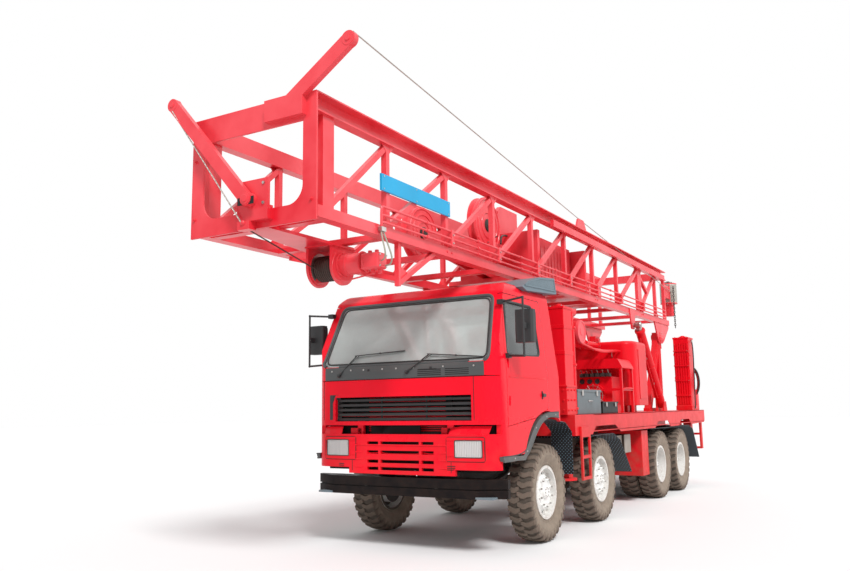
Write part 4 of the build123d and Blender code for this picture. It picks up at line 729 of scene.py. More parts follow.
    def handle(self, foot: Vector, out: Vector, along: Vector) -> "Shape":
        """Bow handle that stands out from its foot and runs along."""
        return self.pipe([foot, foot + out, foot + out + along, foot + along], 0.006, Finish.STEEL, steps=4)

    def strip(self, skin: "Skin", y: tuple[float, float], z: tuple[float, float], finish: Finish,
              lift: float = 0.004, depth: float = 0.008, cells: tuple[int, int] = (16, 2),
              bevel: float = 0.002) -> "Shape":
        """Thin sheet laid on the panels that face ahead, between two y and two z values."""
        part = bmesh.new()
        bmesh.ops.create_grid(part, x_segments=cells[0], y_segments=cells[1], size=0.5)
        for vert in part.verts:
            across, above = vert.co.x + 0.5, vert.co.y + 0.5
            vert.co = skin.front(y[0] + (y[1] - y[0]) * across, z[0] + (z[1] - z[0]) * above, lift)
        bmesh.ops.recalc_face_normals(part, faces=part.faces)
        grown = bmesh.ops.extrude_face_region(part, geom=part.faces[:])["geom"]
        bmesh.ops.translate(part, vec=(-depth, 0, 0),
                            verts=[item for item in grown if isinstance(item, bmesh.types.BMVert)])
        bmesh.ops.recalc_face_normals(part, faces=part.faces)
        return self.take(part, finish, bevel, 1)

    def rope(self, a: Vector, b: Vector, radius: float, finish: Optional[Finish] = None,
             strands: int = 6, lay: float = 7.0) -> "Shape":
        """Taut wire rope from a to b, its strands laid round it.

        Args:
            a: one end.
            b: the other end.
            radius: half of its width over the strands.
            finish: its finish, or none for bare wire.
            strands: strands round it.
            lay: length of one full turn, in rope widths.

        Returns:
            The shape itself.
        """
        run = b - a
        part = bmesh.new()
        spots = strands * 2
        ring = []
        for i in range(spots):
            reach = radius * (1.0 if i % 2 else 0.72)
            angle = math.tau * i / spots
            ring.append(part.verts.new((reach * math.cos(angle), reach * math.sin(angle), -run.length / 2)))
        edges = [part.edges.new(pair) for pair in zip(ring, ring[1:] + ring[:1])]
        steps = max(4, math.ceil(run.length / (lay * radius * 2) * 8))
        bmesh.ops.spin(part, geom=ring + edges, cent=(0, 0, 0), axis=(0, 0, 1),
                       dvec=(0, 0, run.length / steps), angle=math.tau / 8 * steps, steps=steps)
        bmesh.ops.holes_fill(part, edges=[edge for edge in part.edges if edge.is_boundary], sides=spots)
        bmesh.ops.recalc_face_normals(part, faces=part.faces)
        bmesh.ops.transform(part, matrix=Matrix.Translation((a + b) / 2) @ turned(run), verts=part.verts)
        return self.take(part, finish or Finish.ROPE)

    def clip(self, spot: Vector, along: Vector, radius: float, width: float, finish: Finish) -> "Shape":
        """Band or collar round a pipe at a spot."""
        reach = along.normalized() * width / 2
        return self.rod(spot - reach, spot + reach, radius, finish, sides=24, bevel=radius * 0.12)

    def bolts(self, spots: Iterable[Vector], facing: Vector, radius: float, height: float,
              finish: Finish, sides: int = 6) -> "Shape":
        """Hexagon heads, or round ones, standing on spots."""
        part = bmesh.new()
        for spot in spots:
            place = Matrix.Translation(spot + facing.normalized() * height / 2) @ turned(facing)
            bmesh.ops.create_cone(part, cap_ends=True, segments=sides, radius1=radius,
                                  radius2=radius * 0.88, depth=height, matrix=place)
        return self.take(part, finish)

    def node(self, name: str, finish: Finish | Painter, bevel: float = 0.004) -> "Shape":
        """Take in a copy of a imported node, merged and with its hard edges rounded."""
        part = bmesh.new()
        part.from_mesh(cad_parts[name].data)
        bmesh.ops.remove_doubles(part, verts=part.verts, dist=2e-5)
        bmesh.ops.dissolve_limit(part, angle_limit=math.radians(0.5), verts=part.verts, edges=part.edges)
        return self.take(part, finish, bevel)

    def shade(self, rule: Callable[[Vector], float]) -> "Shape":
        """Give every point its tone from its place."""
        layer = self.bm.verts.layers.float["tone"]
        for vert in self.bm.verts:
            vert[layer] = rule(vert.co)
        return self

    def place(self, name: str, body: Body | str, replaces: Sequence[str] = (),
              slot: Optional[str] = None) -> bpy.types.Object:
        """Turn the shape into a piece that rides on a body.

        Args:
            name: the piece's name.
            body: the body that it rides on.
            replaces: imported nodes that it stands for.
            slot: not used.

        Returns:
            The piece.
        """
        mesh = bpy.data.meshes.new(name)
        self.bm.to_mesh(mesh)
        self.bm.free()
        for finish in self.finishes:
            mesh.materials.append(finish.material())
        mesh.set_sharp_from_angle(angle=SHARP_ANGLE)
        piece = bpy.data.objects.new(name, mesh)
        bpy.context.scene.collection.objects.link(piece)
        flat = piece.modifiers.new("flat_faces", "WEIGHTED_NORMAL")
        flat.keep_sharp = True
        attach(piece, body.value if isinstance(body, Body) else body)
        if replaces:
            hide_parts(*replaces)
        log.info("%s: %d faces", name, len(mesh.polygons))
        return piece


def smooth_line(name: str, points: Sequence[Vector], radius: float, closed: bool = False,
                order: int = 3, steps: int = 6) -> bpy.types.Curve:
    """Round tube on one smooth line with its points as control points."""
    curve = bpy.data.curves.new(name, "CURVE")
    curve.dimensions = "3D"
    curve.bevel_depth = radius
    curve.bevel_resolution = 3
    curve.use_fill_caps = not closed
    spline = curve.splines.new("NURBS")
    spline.points.add(len(points) - 1)
    for target, point in zip(spline.points, points):
        target.co = (*point, 1.0)
    spline.order_u = order
    spline.use_cyclic_u = closed
    spline.use_endpoint_u = not closed
    spline.resolution_u = steps
    return curve


def run_length(points: Sequence[Vector]) -> float:
    """Length of the smooth line that has these points as its control points."""
    curve = smooth_line("measure", points, 0.0, steps=24)
    holder = bpy.data.objects.new("measure", curve)
    mesh = bpy.data.meshes.new_from_object(holder)
    ends = [[mesh.vertices[i].co for i in edge.vertices] for edge in mesh.edges]
    length = sum((a - b).length for a, b in ends)
    bpy.data.objects.remove(holder)
    bpy.data.curves.remove(curve)
    bpy.data.meshes.remove(mesh)
    return length


def recoat(node: str, finish: Finish) -> None:
    """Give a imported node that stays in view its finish."""
    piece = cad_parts[node]
    piece.data.materials.clear()
    piece.data.materials.append(finish.material())


class Skin:
    """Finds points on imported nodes, to seat trims on curved panels."""

    def __init__(self, *nodes: str) -> None:
        """Join the nodes' faces in one search tree."""
        verts: list[Vector] = []
        faces: list[list[int]] = []
        for name in nodes:
            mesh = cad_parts[name].data
            base = len(verts)
            verts += [vert.co.copy() for vert in mesh.vertices]
            faces += [[base + index for index in poly.vertices] for poly in mesh.polygons]
        self.tree = BVHTree.FromPolygons(verts, faces)

    def front(self, y: float, z: float, lift: float = 0.0) -> Vector:
        """Point on the panels seen from ahead, lifted off along the panel's normal."""
        spot, normal = self.tree.ray_cast(at(4.0, y, z), -AHEAD)[:2]
        if spot is None:
            spot, normal = self.tree.find_nearest(at(1.2, y, z))[0], AHEAD
        return spot + normal * lift

    def side(self, x: float, z: float, sign: int, lift: float = 0.0) -> Vector:
        """Point on the panels seen from one side, lifted off along the panel's normal."""
        spot, normal = self.tree.ray_cast(at(x, sign * 4.0, z), LEFT * -sign)[:2]
        if spot is None:
            spot, normal = self.tree.find_nearest(at(x, sign * 1.2, z))[0], LEFT * sign
        return spot + normal * lift


@dataclass
class Tyre:
    """Lugged tyre about the Y axis, with its carcass and two rows of lugs."""

    crown_radius: float = 0.543
    flat_half: float = 0.115
    shoulder_radius: float = 0.030
    pitches: int = 30
    lug_depth: float = 0.019
    lug_reach: float = 0.205
    lug_width: float = 0.064

    def surface(self, reach: float, height: float) -> tuple[float, float, float]:
        """Radius, y and tone at a reach across the tread from its middle."""
        fall = 0.012
        bend_end = self.flat_half + self.shoulder_radius * math.pi / 2
        if reach <= self.flat_half:
            radius = self.crown_radius - fall * (reach / self.flat_half) ** 2
            return radius + height, reach, 0.5
        corner = self.crown_radius - fall - self.shoulder_radius
        if reach <= bend_end:
            angle = (reach - self.flat_half) / self.shoulder_radius
            out = self.shoulder_radius + height
            return corner + out * math.cos(angle), self.flat_half + out * math.sin(angle), 0.6
        return corner - (reach - bend_end), self.flat_half + self.shoulder_radius + height, 0.8

    def lugs(self, sign: int) -> bmesh.types.BMesh:
        """One row of lugs, from the tread's middle over the shoulder."""
        part = bmesh.new()
        layer = part.verts.layers.float.new("tone")
        bmesh.ops.create_grid(part, x_segments=9, y_segments=3, size=0.5)
        raised = bmesh.ops.extrude_face_region(part, geom=part.faces[:])["geom"]
        bmesh.ops.translate(part, vec=(0, 0, 1),
                            verts=[v for v in raised if isinstance(v, bmesh.types.BMVert)])
        for vert in part.verts:
            reach = -0.012 + (vert.co.x + 0.5) * (self.lug_reach + 0.012)
            swing = 0.024 * math.sin(math.pi * min(1.0, max(0.0, reach) / self.flat_half))
            taper = 1.0 if vert.co.z < 0.5 else 0.80
            edge = 0.7 if vert.co.z > 0.5 and abs(vert.co.x) > 0.49 else 1.0
            across = vert.co.y * self.lug_width * taper * (1.0 + 0.12 * reach / self.lug_reach) * edge
            depth = self.lug_depth * (1.0 if reach < self.flat_half + 0.02 else 0.45)
            height = depth * vert.co.z - 0.004 * (1 - vert.co.z)
            radius, y, wall = self.surface(max(reach, 0.0), height)
            y = reach if reach < 0 else y
            angle = (across + swing) / self.crown_radius + sign * 0.25 * math.tau / self.pitches
            # the foot of each lug gets a low tone, painted shade at the bottom of the grooves
            vert[layer] = 0.5 * vert.co.z + (0.25 if wall > 0.7 else 0.0)
            vert.co = (radius * math.sin(angle), y * sign, radius * math.cos(angle))
        bmesh.ops.recalc_face_normals(part, faces=part.faces)
        turn = math.tau * (self.pitches - 1) / self.pitches
        bmesh.ops.spin(part, geom=part.verts[:] + part.edges[:] + part.faces[:], cent=(0, 0, 0),
                       axis=(0, 1, 0), angle=turn, steps=self.pitches - 1, use_duplicate=True)
        return part

    def carcass(self) -> bmesh.types.BMesh:
        """Casing between the beads, with a rim guard and a raised wall ring."""
        half = [(0.300, 0.104), (0.318, 0.110), (0.330, 0.121), (0.342, 0.119), (0.380, 0.138),
                (0.420, 0.147), (0.428, 0.150), (0.436, 0.147), (0.470, 0.148), (0.500, 0.145),
                (0.520, 0.138), (0.531, 0.115), (0.540, 0.060), (0.543, 0.0)]
        profile = [(r, -y) for r, y in half] + [(r, y) for r, y in reversed(half[:-1])]
        part = bmesh.new()
        layer = part.verts.layers.float.new("tone")
        verts = [part.verts.new((radius, y, 0.0)) for radius, y in profile]
        for vert, (radius, _) in zip(verts, profile):
            # the crown between the lugs gets a low tone, painted shade in the grooves
            vert[layer] = 1.0 if radius < 0.49 else 0.65 if radius < 0.515 else 0.08
        edges = [part.edges.new(pair) for pair in zip(verts, verts[1:] + verts[:1])]
        bmesh.ops.spin(part, geom=verts + edges, cent=(0, 0, 0), axis=(0, 1, 0), angle=math.tau,
                       steps=72, use_merge=True)
        bmesh.ops.recalc_face_normals(part, faces=part.faces)
        return part

    def fit(self, shape: Shape, centre: Vector) -> None:
        """Add the whole tyre to a shape at its centre."""
        for part in (self.carcass(), self.lugs(1), self.lugs(-1)):
            bmesh.ops.translate(part, vec=centre, verts=part.verts)
            shape.take(part, Finish.TYRE)


@dataclass
class Wheels:
    """All eight wheel stations: tyres, rims, studs and nuts."""

    axles: Sequence[str] = ("1", "2", "3", "4")
    steered: Sequence[str] = ("1", "2")
    outer_y: float = 1.222
    tyre_width: float = 0.300
    twin_pitch: float = 0.338
    stud_circle: float = 0.163
    studs: int = 10
    disc_radius: float = 0.19
    rim_radius: float = 0.306

    def build(self) -> None:
        """Make a tyre piece and a wheel piece for each station."""
        for number in self.axles:
            for side, sign in SIDES.items():
                self.station(number, side, sign)

    def station(self, number: str, side: str, sign: int) -> None:
        """Dress one station."""
        low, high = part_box(f"wheel_{number}_{side}")
        centre = Vector(((low.x + high.x) / 2, 0, (low.z + high.z) / 2))
        mid = sign * (self.outer_y - self.tyre_width / 2)
        single = number in self.steered
        places = [mid] if single else [mid, mid - sign * self.twin_pitch]
        tyres = Shape()
        for y in places:
            Tyre().fit(tyres, centre + Vector((0, y, 0)))
        body = f"wheel_set_{number}_{side}"
        tyres.place(f"lugged_tyre_{number}_{side}", body, [f"tyre_{number}_{side}"], "tyre")

        def skin(patch: bmesh.types.BMFace) -> Finish:
            """Dark cast finish on the deep sides that face the frame, painted shade on the wheel's inner
            side.
            """
            # inward faces deep in the wheel take painted shade
            faces_in = patch.normal.y * sign < -0.05
            deep = sign * patch.calc_center_median().y < self.outer_y - 0.10
            return Finish.CAST if faces_in and deep else Finish.WHEEL_SILVER

        wheel = Shape().node(f"wheel_{number}_{side}", skin, bevel=0.003)
        twin_face = self.outer_y - self.tyre_width / 2 - self.twin_pitch / 2 + 0.016
        face = self.outer_y - 0.062 if single else twin_face
        outward = LEFT * sign
        spots = circle(centre + outward * face, "Y", self.stud_circle, self.studs, 0.5)
        wheel.bolts(spots, outward, 0.019, 0.022, Finish.WHEEL_SILVER)
        wheel.bolts(spots, outward, 0.011, 0.042, Finish.STEEL, sides=10)
        hub = face + 0.03 if single else face + 0.2
        wheel.bolts(circle(centre + outward * hub, "Y", 0.05, 8), outward, 0.008, 0.010, Finish.STEEL)
        span = self.rim_radius - self.disc_radius

        def nearness_to_rim(co: Vector) -> float:
            """Return 0 at the disc and 1 at the rim, rising steeply near the rim."""
            radius = math.hypot(co.x - centre.x, co.z - centre.z)
            return max(0.0, (radius - self.disc_radius) / span) ** 2

        wheel.shade(nearness_to_rim)
        wheel.place(f"dressed_wheel_{number}_{side}", body, [f"wheel_{number}_{side}"], "wheel_silver")


@dataclass
class Stage:
    """Pale floor, plain soft light and the camera at the photograph's viewpoint."""

    eye: tuple[float, float, float] = (8.985, 4.938, 1.549)
    yaw: float = math.radians(30.84)
    pitch: float = math.radians(8.73)
    roll: float = math.radians(-0.86)
    focal_pixels: float = 801.7
    image_width: float = 850.0
    floor_size: float = 160.0
    world_light: float = 0.58
    world_seen_extra: float = 0.42
    sun_strength: float = 2.6
    sun_spread: float = math.radians(14)
    sun_from: tuple[float, float, float] = (0.72, 0.78, 1.0)
    panel_power: float = 800.0
    panel_size: tuple[float, float] = (26.0, 9.0)
    panel_place: tuple[float, float, float] = (-14.0, 15.0, 6.0)
    panel_facing_away: tuple[float, float, float] = (-0.35, 1.0, 0.15)
    film_width: float = 36.0

    def build(self) -> None:
        """Make the floor, the world, the lamps and the camera."""
        self.floor()
        self.world()
        self.lamps()
        self.camera()
        bpy.context.scene.view_settings.view_transform = "Standard"

    def floor(self) -> None:
        """Large pale floor at ground level."""
        mesh = bpy.data.meshes.new("floor")
        bm = bmesh.new()
        bmesh.ops.create_grid(bm, x_segments=1, y_segments=1, size=self.floor_size / 2)
        bm.to_mesh(mesh)
        bm.free()
        material, board, shader = new_material("floor_paint")
        place = board.add("NodeTexCoord").outputs["Object"]
        mottle = board.calc("MULTIPLY", board.noise(place, 0.6, 3.0), 0.06)
        board.feed(shader.inputs["Base Color"], board.blend(mottle, (0.90, 0.90, 0.90), (0.8, 0.8, 0.8)))
        shader.inputs["Roughness"].default_value = 0.9
        mesh.materials.append(material)
        floor = bpy.data.objects.new("floor", mesh)
        bpy.context.scene.collection.objects.link(floor)

    def world(self) -> None:
        """White to the camera and in reflections, soft light otherwise."""
        world = bpy.data.worlds.new("pale_room")
        bpy.context.scene.world = world
        world.use_nodes = True
        board = NodeBoard(world.node_tree)
        rays = board.add("NodeLightPath").outputs
        seen = board.calc("MAXIMUM", rays["Is Camera Ray"],
                          board.calc("MAXIMUM", rays["Is Glossy Ray"], rays["Is Transmission Ray"]))
        strength = board.calc("MULTIPLY_ADD", seen, self.world_seen_extra)
        board.feed(strength.node.inputs[2], self.world_light)
        background = world.node_tree.nodes["Background"]
        background.inputs["Color"].default_value = (1.0, 1.0, 1.0, 1.0)
        board.feed(background.inputs["Strength"], strength)

    def lamps(self) -> None:
        """Soft sun from the truck's left and a bright sky panel beside it."""
        sun = bpy.data.lights.new("soft_sun", "SUN")
        sun.energy = self.sun_strength
        sun.angle = self.sun_spread
        lamp = bpy.data.objects.new("soft_sun", sun)
        lamp.matrix_world = turned(Vector(self.sun_from))
        panel = bpy.data.lights.new("sky_panel", "AREA")
        panel.shape = "RECTANGLE"
        panel.size, panel.size_y = self.panel_size
        panel.energy = self.panel_power
        board = bpy.data.objects.new("sky_panel", panel)
        turn = turned(Vector(self.panel_facing_away))
        board.matrix_world = Matrix.Translation(at(*self.panel_place)) @ turn
        for item in (lamp, board):
            bpy.context.scene.collection.objects.link(item)

    def camera(self) -> None:
        """Camera at the photograph's viewpoint, rolled a little as it was held."""
        ahead = Vector((-math.cos(self.pitch) * math.cos(self.yaw),
                        -math.cos(self.pitch) * math.sin(self.yaw), math.sin(self.pitch)))
        level = ahead.cross(UP).normalized()
        above = level.cross(ahead)
        right = level * math.cos(self.roll) + above * math.sin(self.roll)
        up = above * math.cos(self.roll) - level * math.sin(self.roll)
        data = bpy.data.cameras.new("viewpoint")
        data.sensor_width = self.film_width
        data.lens = data.sensor_width * self.focal_pixels / self.image_width
        data.clip_end = 400.0
        camera = bpy.data.objects.new("viewpoint", data)
        turn = Matrix((right, up, -ahead)).transposed().to_4x4()
        camera.matrix_world = Matrix.Translation(at(*self.eye)) @ turn
        bpy.context.scene.collection.objects.link(camera)
        bpy.context.scene.camera = camera


@dataclass
class PlainDress:
    """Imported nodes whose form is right, with rounded edges and real finishes."""

    # node, body, finish, rounding
    table: Sequence[tuple[str, Body | str, Finish | Painter, float]] = (
        ("chassis_frame", Body.CHASSIS, Finish.CHASSIS_BLACK, 0.004),
        ("running_gear", Body.CHASSIS, Finish.CAST, 0.004),
        ("engine_block", Body.CHASSIS, Finish.CAST, 0.01),
        ("front_bumper", Body.CHASSIS, Finish.BLACK_PAINT, 0.010),
        ("cab_shell", Body.CHASSIS, paint_shell, 0.012),
        ("cab_front_panels", Body.CHASSIS, Finish.CAB_RED, 0.005),
        ("front_grilles", Body.CHASSIS, Finish.BLACK_TRIM, 0.003),
        ("roof_hood", Body.CHASSIS, Finish.GREY_TRIM, 0.012),
        ("mudguards", Body.CHASSIS, Finish.LINER, 0.0),
        ("deck", Body.CHASSIS, Finish.DECK_RED, 0.003),
        ("ladders", Body.CHASSIS, Finish.DECK_RED, 0.004),
        ("stowage_boxes", Body.CHASSIS, paint_boxes, 0.010),
        ("deck_machinery", Body.CHASSIS, paint_machinery, 0.005),
        ("power_house", Body.CHASSIS, Finish.DECK_RED, 0.008),
        ("mast_cradle", Body.CHASSIS, Finish.DECK_RED, 0.006),
        ("mast_support", Body.CHASSIS, Finish.DECK_RED, 0.006),
        ("jack_housings", Body.CHASSIS, Finish.DECK_RED, 0.006),
        ("mast_sides", Body.MAST, Finish.MAST_RED, 0.004),
        ("mast_crosses", Body.MAST, Finish.MAST_RED, 0.004),
        ("mast_crown", Body.MAST, Finish.MAST_RED, 0.004),
        ("winch_frame", Body.MAST, Finish.MAST_RED, 0.005),
        ("jib_arms", Body.MAST, Finish.MAST_RED, 0.006),
        ("mast_fittings", Body.MAST, paint_fittings, 0.003),
        ("rotary_head", Body.TOP_DRIVE, Finish.MAST_RED, 0.008),
        ("winch_drum", Body.WINCH, paint_winch, 0.004),
        ("raise_barrels", Body.BARRELS, Finish.DECK_RED, 0.004),
        ("raise_rods", Body.RODS, Finish.STEEL, 0.003),
        ("door_left", Body.DOOR_LEFT, Finish.CAB_RED, 0.005),
        ("door_right", Body.DOOR_RIGHT, Finish.CAB_RED, 0.005),
        ("mirror_left", Body.DOOR_LEFT, Finish.BLACK_TRIM, 0.012),
        ("mirror_right", Body.DOOR_RIGHT, Finish.BLACK_TRIM, 0.012),
    )

    def build(self) -> None:
        """Dress each node of the table, the knuckles, the legs and the panes."""
        for node, body, finish, bevel in self.table:
            Shape().node(node, finish, bevel).place(f"dressed_{node}", body, [node])
        # stem of the node's name, stem of the body's, which ones, finish, rounding
        per_side = (("knuckle", "steer", ("1", "2"), Finish.CAST, 0.004),
                    ("jack_leg", "jack", ("front", "rear"), Finish.DECK_RED, 0.005))
        for side in SIDES:
            for stem, body, which, finish, bevel in per_side:
                for name in which:
                    node = f"{stem}_{name}_{side}"
                    Shape().node(node, finish, bevel).place(f"dressed_{node}", f"{body}_{name}_{side}",
                                                            [node])
        for node, finish in (("cab_glass", Finish.GLASS), ("door_glass_left", Finish.SIDE_GLASS),
                             ("door_glass_right", Finish.SIDE_GLASS), ("headlamps", Finish.LENS)):
            recoat(node, finish)


@dataclass
class CabFace:
    """Screen seal, wipers, cowl, lamps and trims on the front of the cab."""

    seal_radius: float = 0.019
    corner_radius: float = 0.085
    cowl_half: float = 1.06
    cowl_z: tuple[float, float] = (1.893, 2.012)
    cowl_bolts_y: tuple[float, ...] = (-0.668, -0.488, -0.225, -0.037, 0.19, 0.576, 0.95, -0.95)
    lamp_y: tuple[float, float] = (0.709, 1.014)
    lamp_z: tuple[float, float] = (1.034, 1.198)
    lens_lap: float = 0.008
    bezel_y: tuple[float, float] = (0.600, 1.050)
    bezel_z: tuple[float, float] = (0.985, 1.240)
    grille_z: tuple[float, float] = (1.432, 1.722)
    filler_z: tuple[float, float] = (1.258, 1.352)
    # y, span of z, steps of each upright seam
    seams: Sequence[tuple[float, tuple[float, float], int]] = (
        (-1.090, (1.362, 1.885), 8), (0.937, (1.362, 1.885), 8), (-0.652, (0.862, 0.975), 4),
        (0.652, (0.862, 0.975), 4))
    # pivot, elbow and blade end of each wiper, as (y, z)
    wipers: Sequence[tuple[tuple[float, float], ...]] = (
        ((-0.835, 1.940), (-0.634, 2.165), (0.021, 2.200)),
        ((0.120, 1.955), (0.367, 2.140), (1.060, 2.085)),
    )

    def build(self) -> None:
        """Make the pieces."""
        self.panels = Skin("cab_front_panels", "front_grilles", "headlamps")
        self.screen = Skin("cab_glass", "cab_shell")
        self.seal()
        self.blades()
        self.cowl()
        self.lamps()
        self.openings()

    def seal(self) -> None:
        """Thick grey rubber round the screen, with a thin dark lip inside it."""
        low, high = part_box("cab_glass")
        foot, head = high.y + 0.004, high.y - 0.076
        corners = [(-foot, low.z), (foot, low.z), (head, high.z), (-head, high.z)]
        loop = rounded(corners, self.corner_radius)
        shape = Shape()
        shape.pipe([self.screen.front(y, z, 0.006) for y, z in loop], self.seal_radius,
                   Finish.GREY_SEAL, closed=True, steps=2)
        inner = rounded([(y * 0.968, z + (0.03 if z == low.z else -0.03)) for y, z in corners],
                        self.corner_radius)
        shape.pipe([self.screen.front(y, z, 0.001) for y, z in inner], 0.009, Finish.BLACK_TRIM,
                   closed=True, steps=2)
        shape.place("screen_seal", Body.CHASSIS)

    def blades(self) -> None:
        """Two wipers parked low on the screen."""
        shape = Shape()
        for pivot, elbow, tip in self.wipers:
            base = self.panels.front(*pivot, 0.012)
            knee = self.screen.front(*elbow, 0.032)
            end = self.screen.front(*tip, 0.020)
            shape.lathe([(0.0, 0.035), (0.014, 0.033), (0.020, 0.022), (0.022, 0.0), (0.0, -0.01)],
                        base, Vector((0.9, 0, 0.3)), Finish.BLACK_TRIM, 20)
            shape.bar(base + Vector((0.02, 0, 0)), knee, 0.014, 0.010, Finish.BLACK_TRIM, LEFT)
            heel = knee.lerp(end, -0.04)
            middle = knee.lerp(end, 0.5)
            shape.rod(heel, end, 0.006, Finish.BLACK_TRIM, 8)
            shape.bar(heel + Vector((-0.010, 0, 0)), end + Vector((-0.006, 0, 0)), 0.006, 0.020,
                      Finish.HOSE, UP, 0.001)
            shape.bar(knee.lerp(end, 0.2), knee.lerp(end, 0.8), 0.010, 0.012, Finish.BLACK_TRIM)
            shape.bolts([middle], AHEAD, 0.011, 0.012, Finish.BLACK_TRIM, 12)
            shape.rod(base + Vector((0.01, 0, 0.02)), knee.lerp(end, 0.06), 0.0035, Finish.HOSE, 6)
        shape.place("screen_wipers", Body.CHASSIS)

    def cowl(self) -> None:
        """Dark band under the screen with its screws and louvres."""
        shape = Shape()
        span = (-self.cowl_half, self.cowl_half)
        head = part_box("cab_glass")[0].z - 0.010
        shape.strip(Skin("cab_front_panels", "cab_shell"), span, (self.cowl_z[0], head), Finish.COWL, 0.009,
                    0.010, (40, 4))
        # dark strips in the louvre slots are painted shade
        for low, high in ((0.254, 0.553), (0.600, 0.890)):
            for i in range(4):
                z = self.cowl_z[0] + 0.018 + 0.020 * i
                shape.strip(self.panels, (low, high), (z, z + 0.010), Finish.DARK, 0.011, 0.004, (8, 1))
        spots = [self.panels.front(y, self.cowl_z[1] - 0.012, 0.009) for y in self.cowl_bolts_y]
        shape.bolts(spots, AHEAD, 0.011, 0.006, Finish.STEEL, 14)
        for y in (-0.42, 0.42):
            spot = self.panels.front(y, self.cowl_z[1] - 0.02, 0.004)
            shape.lathe([(0.0, 0.022), (0.010, 0.020), (0.013, 0.008), (0.016, 0.0)], spot,
                        Vector((0.7, 0, 0.7)), Finish.BLACK_TRIM, 14)
        shape.place("cowl_band", Body.CHASSIS)

    def lamps(self) -> None:
        """Flush lenses in red surrounds, and bowls and bulbs behind them."""
        shape = Shape()
        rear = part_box("headlamps")[0].x
        for sign in (1, -1):
            runs = [(self.bezel_y, (self.lamp_z[1] + 0.004, self.bezel_z[1])),
                    (self.bezel_y, (self.bezel_z[0], self.lamp_z[0] - 0.004)),
                    ((self.bezel_y[0], self.lamp_y[0] - 0.004), self.lamp_z),
                    ((self.lamp_y[1] + 0.004, self.bezel_y[1]), self.lamp_z)]
            for y, z in runs:
                ends = tuple(sorted((sign * y[0], sign * y[1])))
                shape.strip(self.panels, ends, z, Finish.CAB_RED, 0.007, 0.014, (6, 2))
            corners = oblong((self.lamp_y[0] - self.lens_lap, self.lamp_y[1] + self.lens_lap),
                             (self.lamp_z[0] - self.lens_lap, self.lamp_z[1] + self.lens_lap))
            flush = [self.panels.front(sign * y, z, 0.006) for y, z in corners]
            shape.plate(flush, Vector((-0.005, 0, 0)), Finish.LENS, 0.002)
            frame_line = rounded([(sign * y, z) for y, z in corners], 0.018)
            shape.pipe([self.lens_spot(flush, corners, sign, y, z) for y, z in frame_line], 0.005,
                       Finish.BLACK_TRIM, closed=True, steps=2)
            edge = rounded(oblong(self.bezel_y, self.bezel_z, sign), 0.02)
            shape.pipe([self.panels.front(y, z, 0.002) for y, z in edge], 0.005, Finish.DARK, closed=True,
                       steps=2)
            middle = (self.lamp_z[0] + self.lamp_z[1]) / 2
            shape.box((rear - 0.04, sign * (self.lamp_y[0] + 0.002), self.lamp_z[0] + 0.002),
                      (rear - 0.03, sign * (self.lamp_y[1] - 0.002), self.lamp_z[1] - 0.002),
                      Finish.BLACK_TRIM)
            for y, radius in ((0.785, 0.071), (0.940, 0.071)):
                mouth = Vector((rear + 0.035, sign * y, middle))
                shape.lathe([(radius, 0.0), (radius * 0.93, -0.018), (radius * 0.7, -0.045),
                             (radius * 0.35, -0.058), (0.012, -0.060), (0.012, -0.030), (0.0, -0.024)],
                            mouth, AHEAD, Finish.CHROME, 28)
            shape.bar(Vector((rear + 0.02, sign * 0.862, self.lamp_z[0])),
                      Vector((rear + 0.02, sign * 0.862, self.lamp_z[1])), 0.012, 0.05, Finish.CHROME)
        shape.place("lamp_bezels", Body.CHASSIS, slot="trim")

    def lens_spot(self, flush: Sequence[Vector], corners: Sequence[tuple[float, float]], sign: int, y: float,
                  z: float) -> Vector:
        """Point on a lens plate, from its corners and a place seen from ahead."""
        (y0, z0), (y1, z1) = corners[0], corners[2]
        across, above = (sign * y - y0) / (y1 - y0), (z - z0) / (z1 - z0)
        foot, head = flush[0].lerp(flush[1], across), flush[3].lerp(flush[2], across)
        return foot.lerp(head, above) + Vector((0.002, 0, 0))

    def openings(self) -> None:
        """Dark backing panel and black uprights as painted shade in the openings, radiator core behind the
        grille, slot ridges, gap fillers, vents, seams and bumper parts.
        """
        shape = Shape()
        # dark panel behind the grille and slots: painted shade inside the cab front
        shape.box(at(1.145, -1.10, 0.86), at(1.155, 1.10, 1.86), Finish.DARK, 0.0)
        for i in range(24):
            z = 1.30 + 0.022 * i
            shape.box(at(1.156, -0.52, z), at(1.166, 0.52, z + 0.008), Finish.CAB_RED, 0.0)
        # black uprights at the sides of the opening: painted shade on its sides
        for side in (-0.56, 0.56):
            shape.box(at(1.150, side - 0.04, 0.95), at(1.176, side + 0.04, 1.84), Finish.BLACK_PAINT, 0.004)
        shape.strip(self.panels, (-0.433, 0.231), (1.277, 1.335), Finish.BLACK_PAINT, -0.03, 0.02, (8, 1))
        for low, high in ((-0.74, -0.586), (0.483, 0.605)):
            shape.box(at(1.19, low, 1.268), at(1.225, high, 1.338), Finish.CAB_RED, 0.004)
        for ys in ((0.615, 0.76, 0.90, 1.00, 1.085), (-1.085, -1.00, -0.90, -0.82)):
            for a, b in zip(ys, ys[1:]):
                corners = [self.panels.front(y, z, -0.001) for y, z in oblong((a, b), self.filler_z)]
                for corner in corners[2:]:
                    corner.z -= 0.014
                shape.plate(corners, Vector((-0.012, 0, 0)), Finish.CAB_RED, 0.0)
        low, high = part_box("front_grilles")
        shape.strip(self.panels, (low.y - 0.085, low.y + 0.050), self.grille_z, Finish.BLACK_TRIM, 0.003,
                    0.006, (3, 3))
        for z in (0.905, 0.987, 1.069, 1.150):
            spots = [self.panels.front(-0.6 + 0.1 * i, z, 0.001) for i in range(13)]
            shape.pipe(spots, 0.008, Finish.CAB_RED, steps=2)
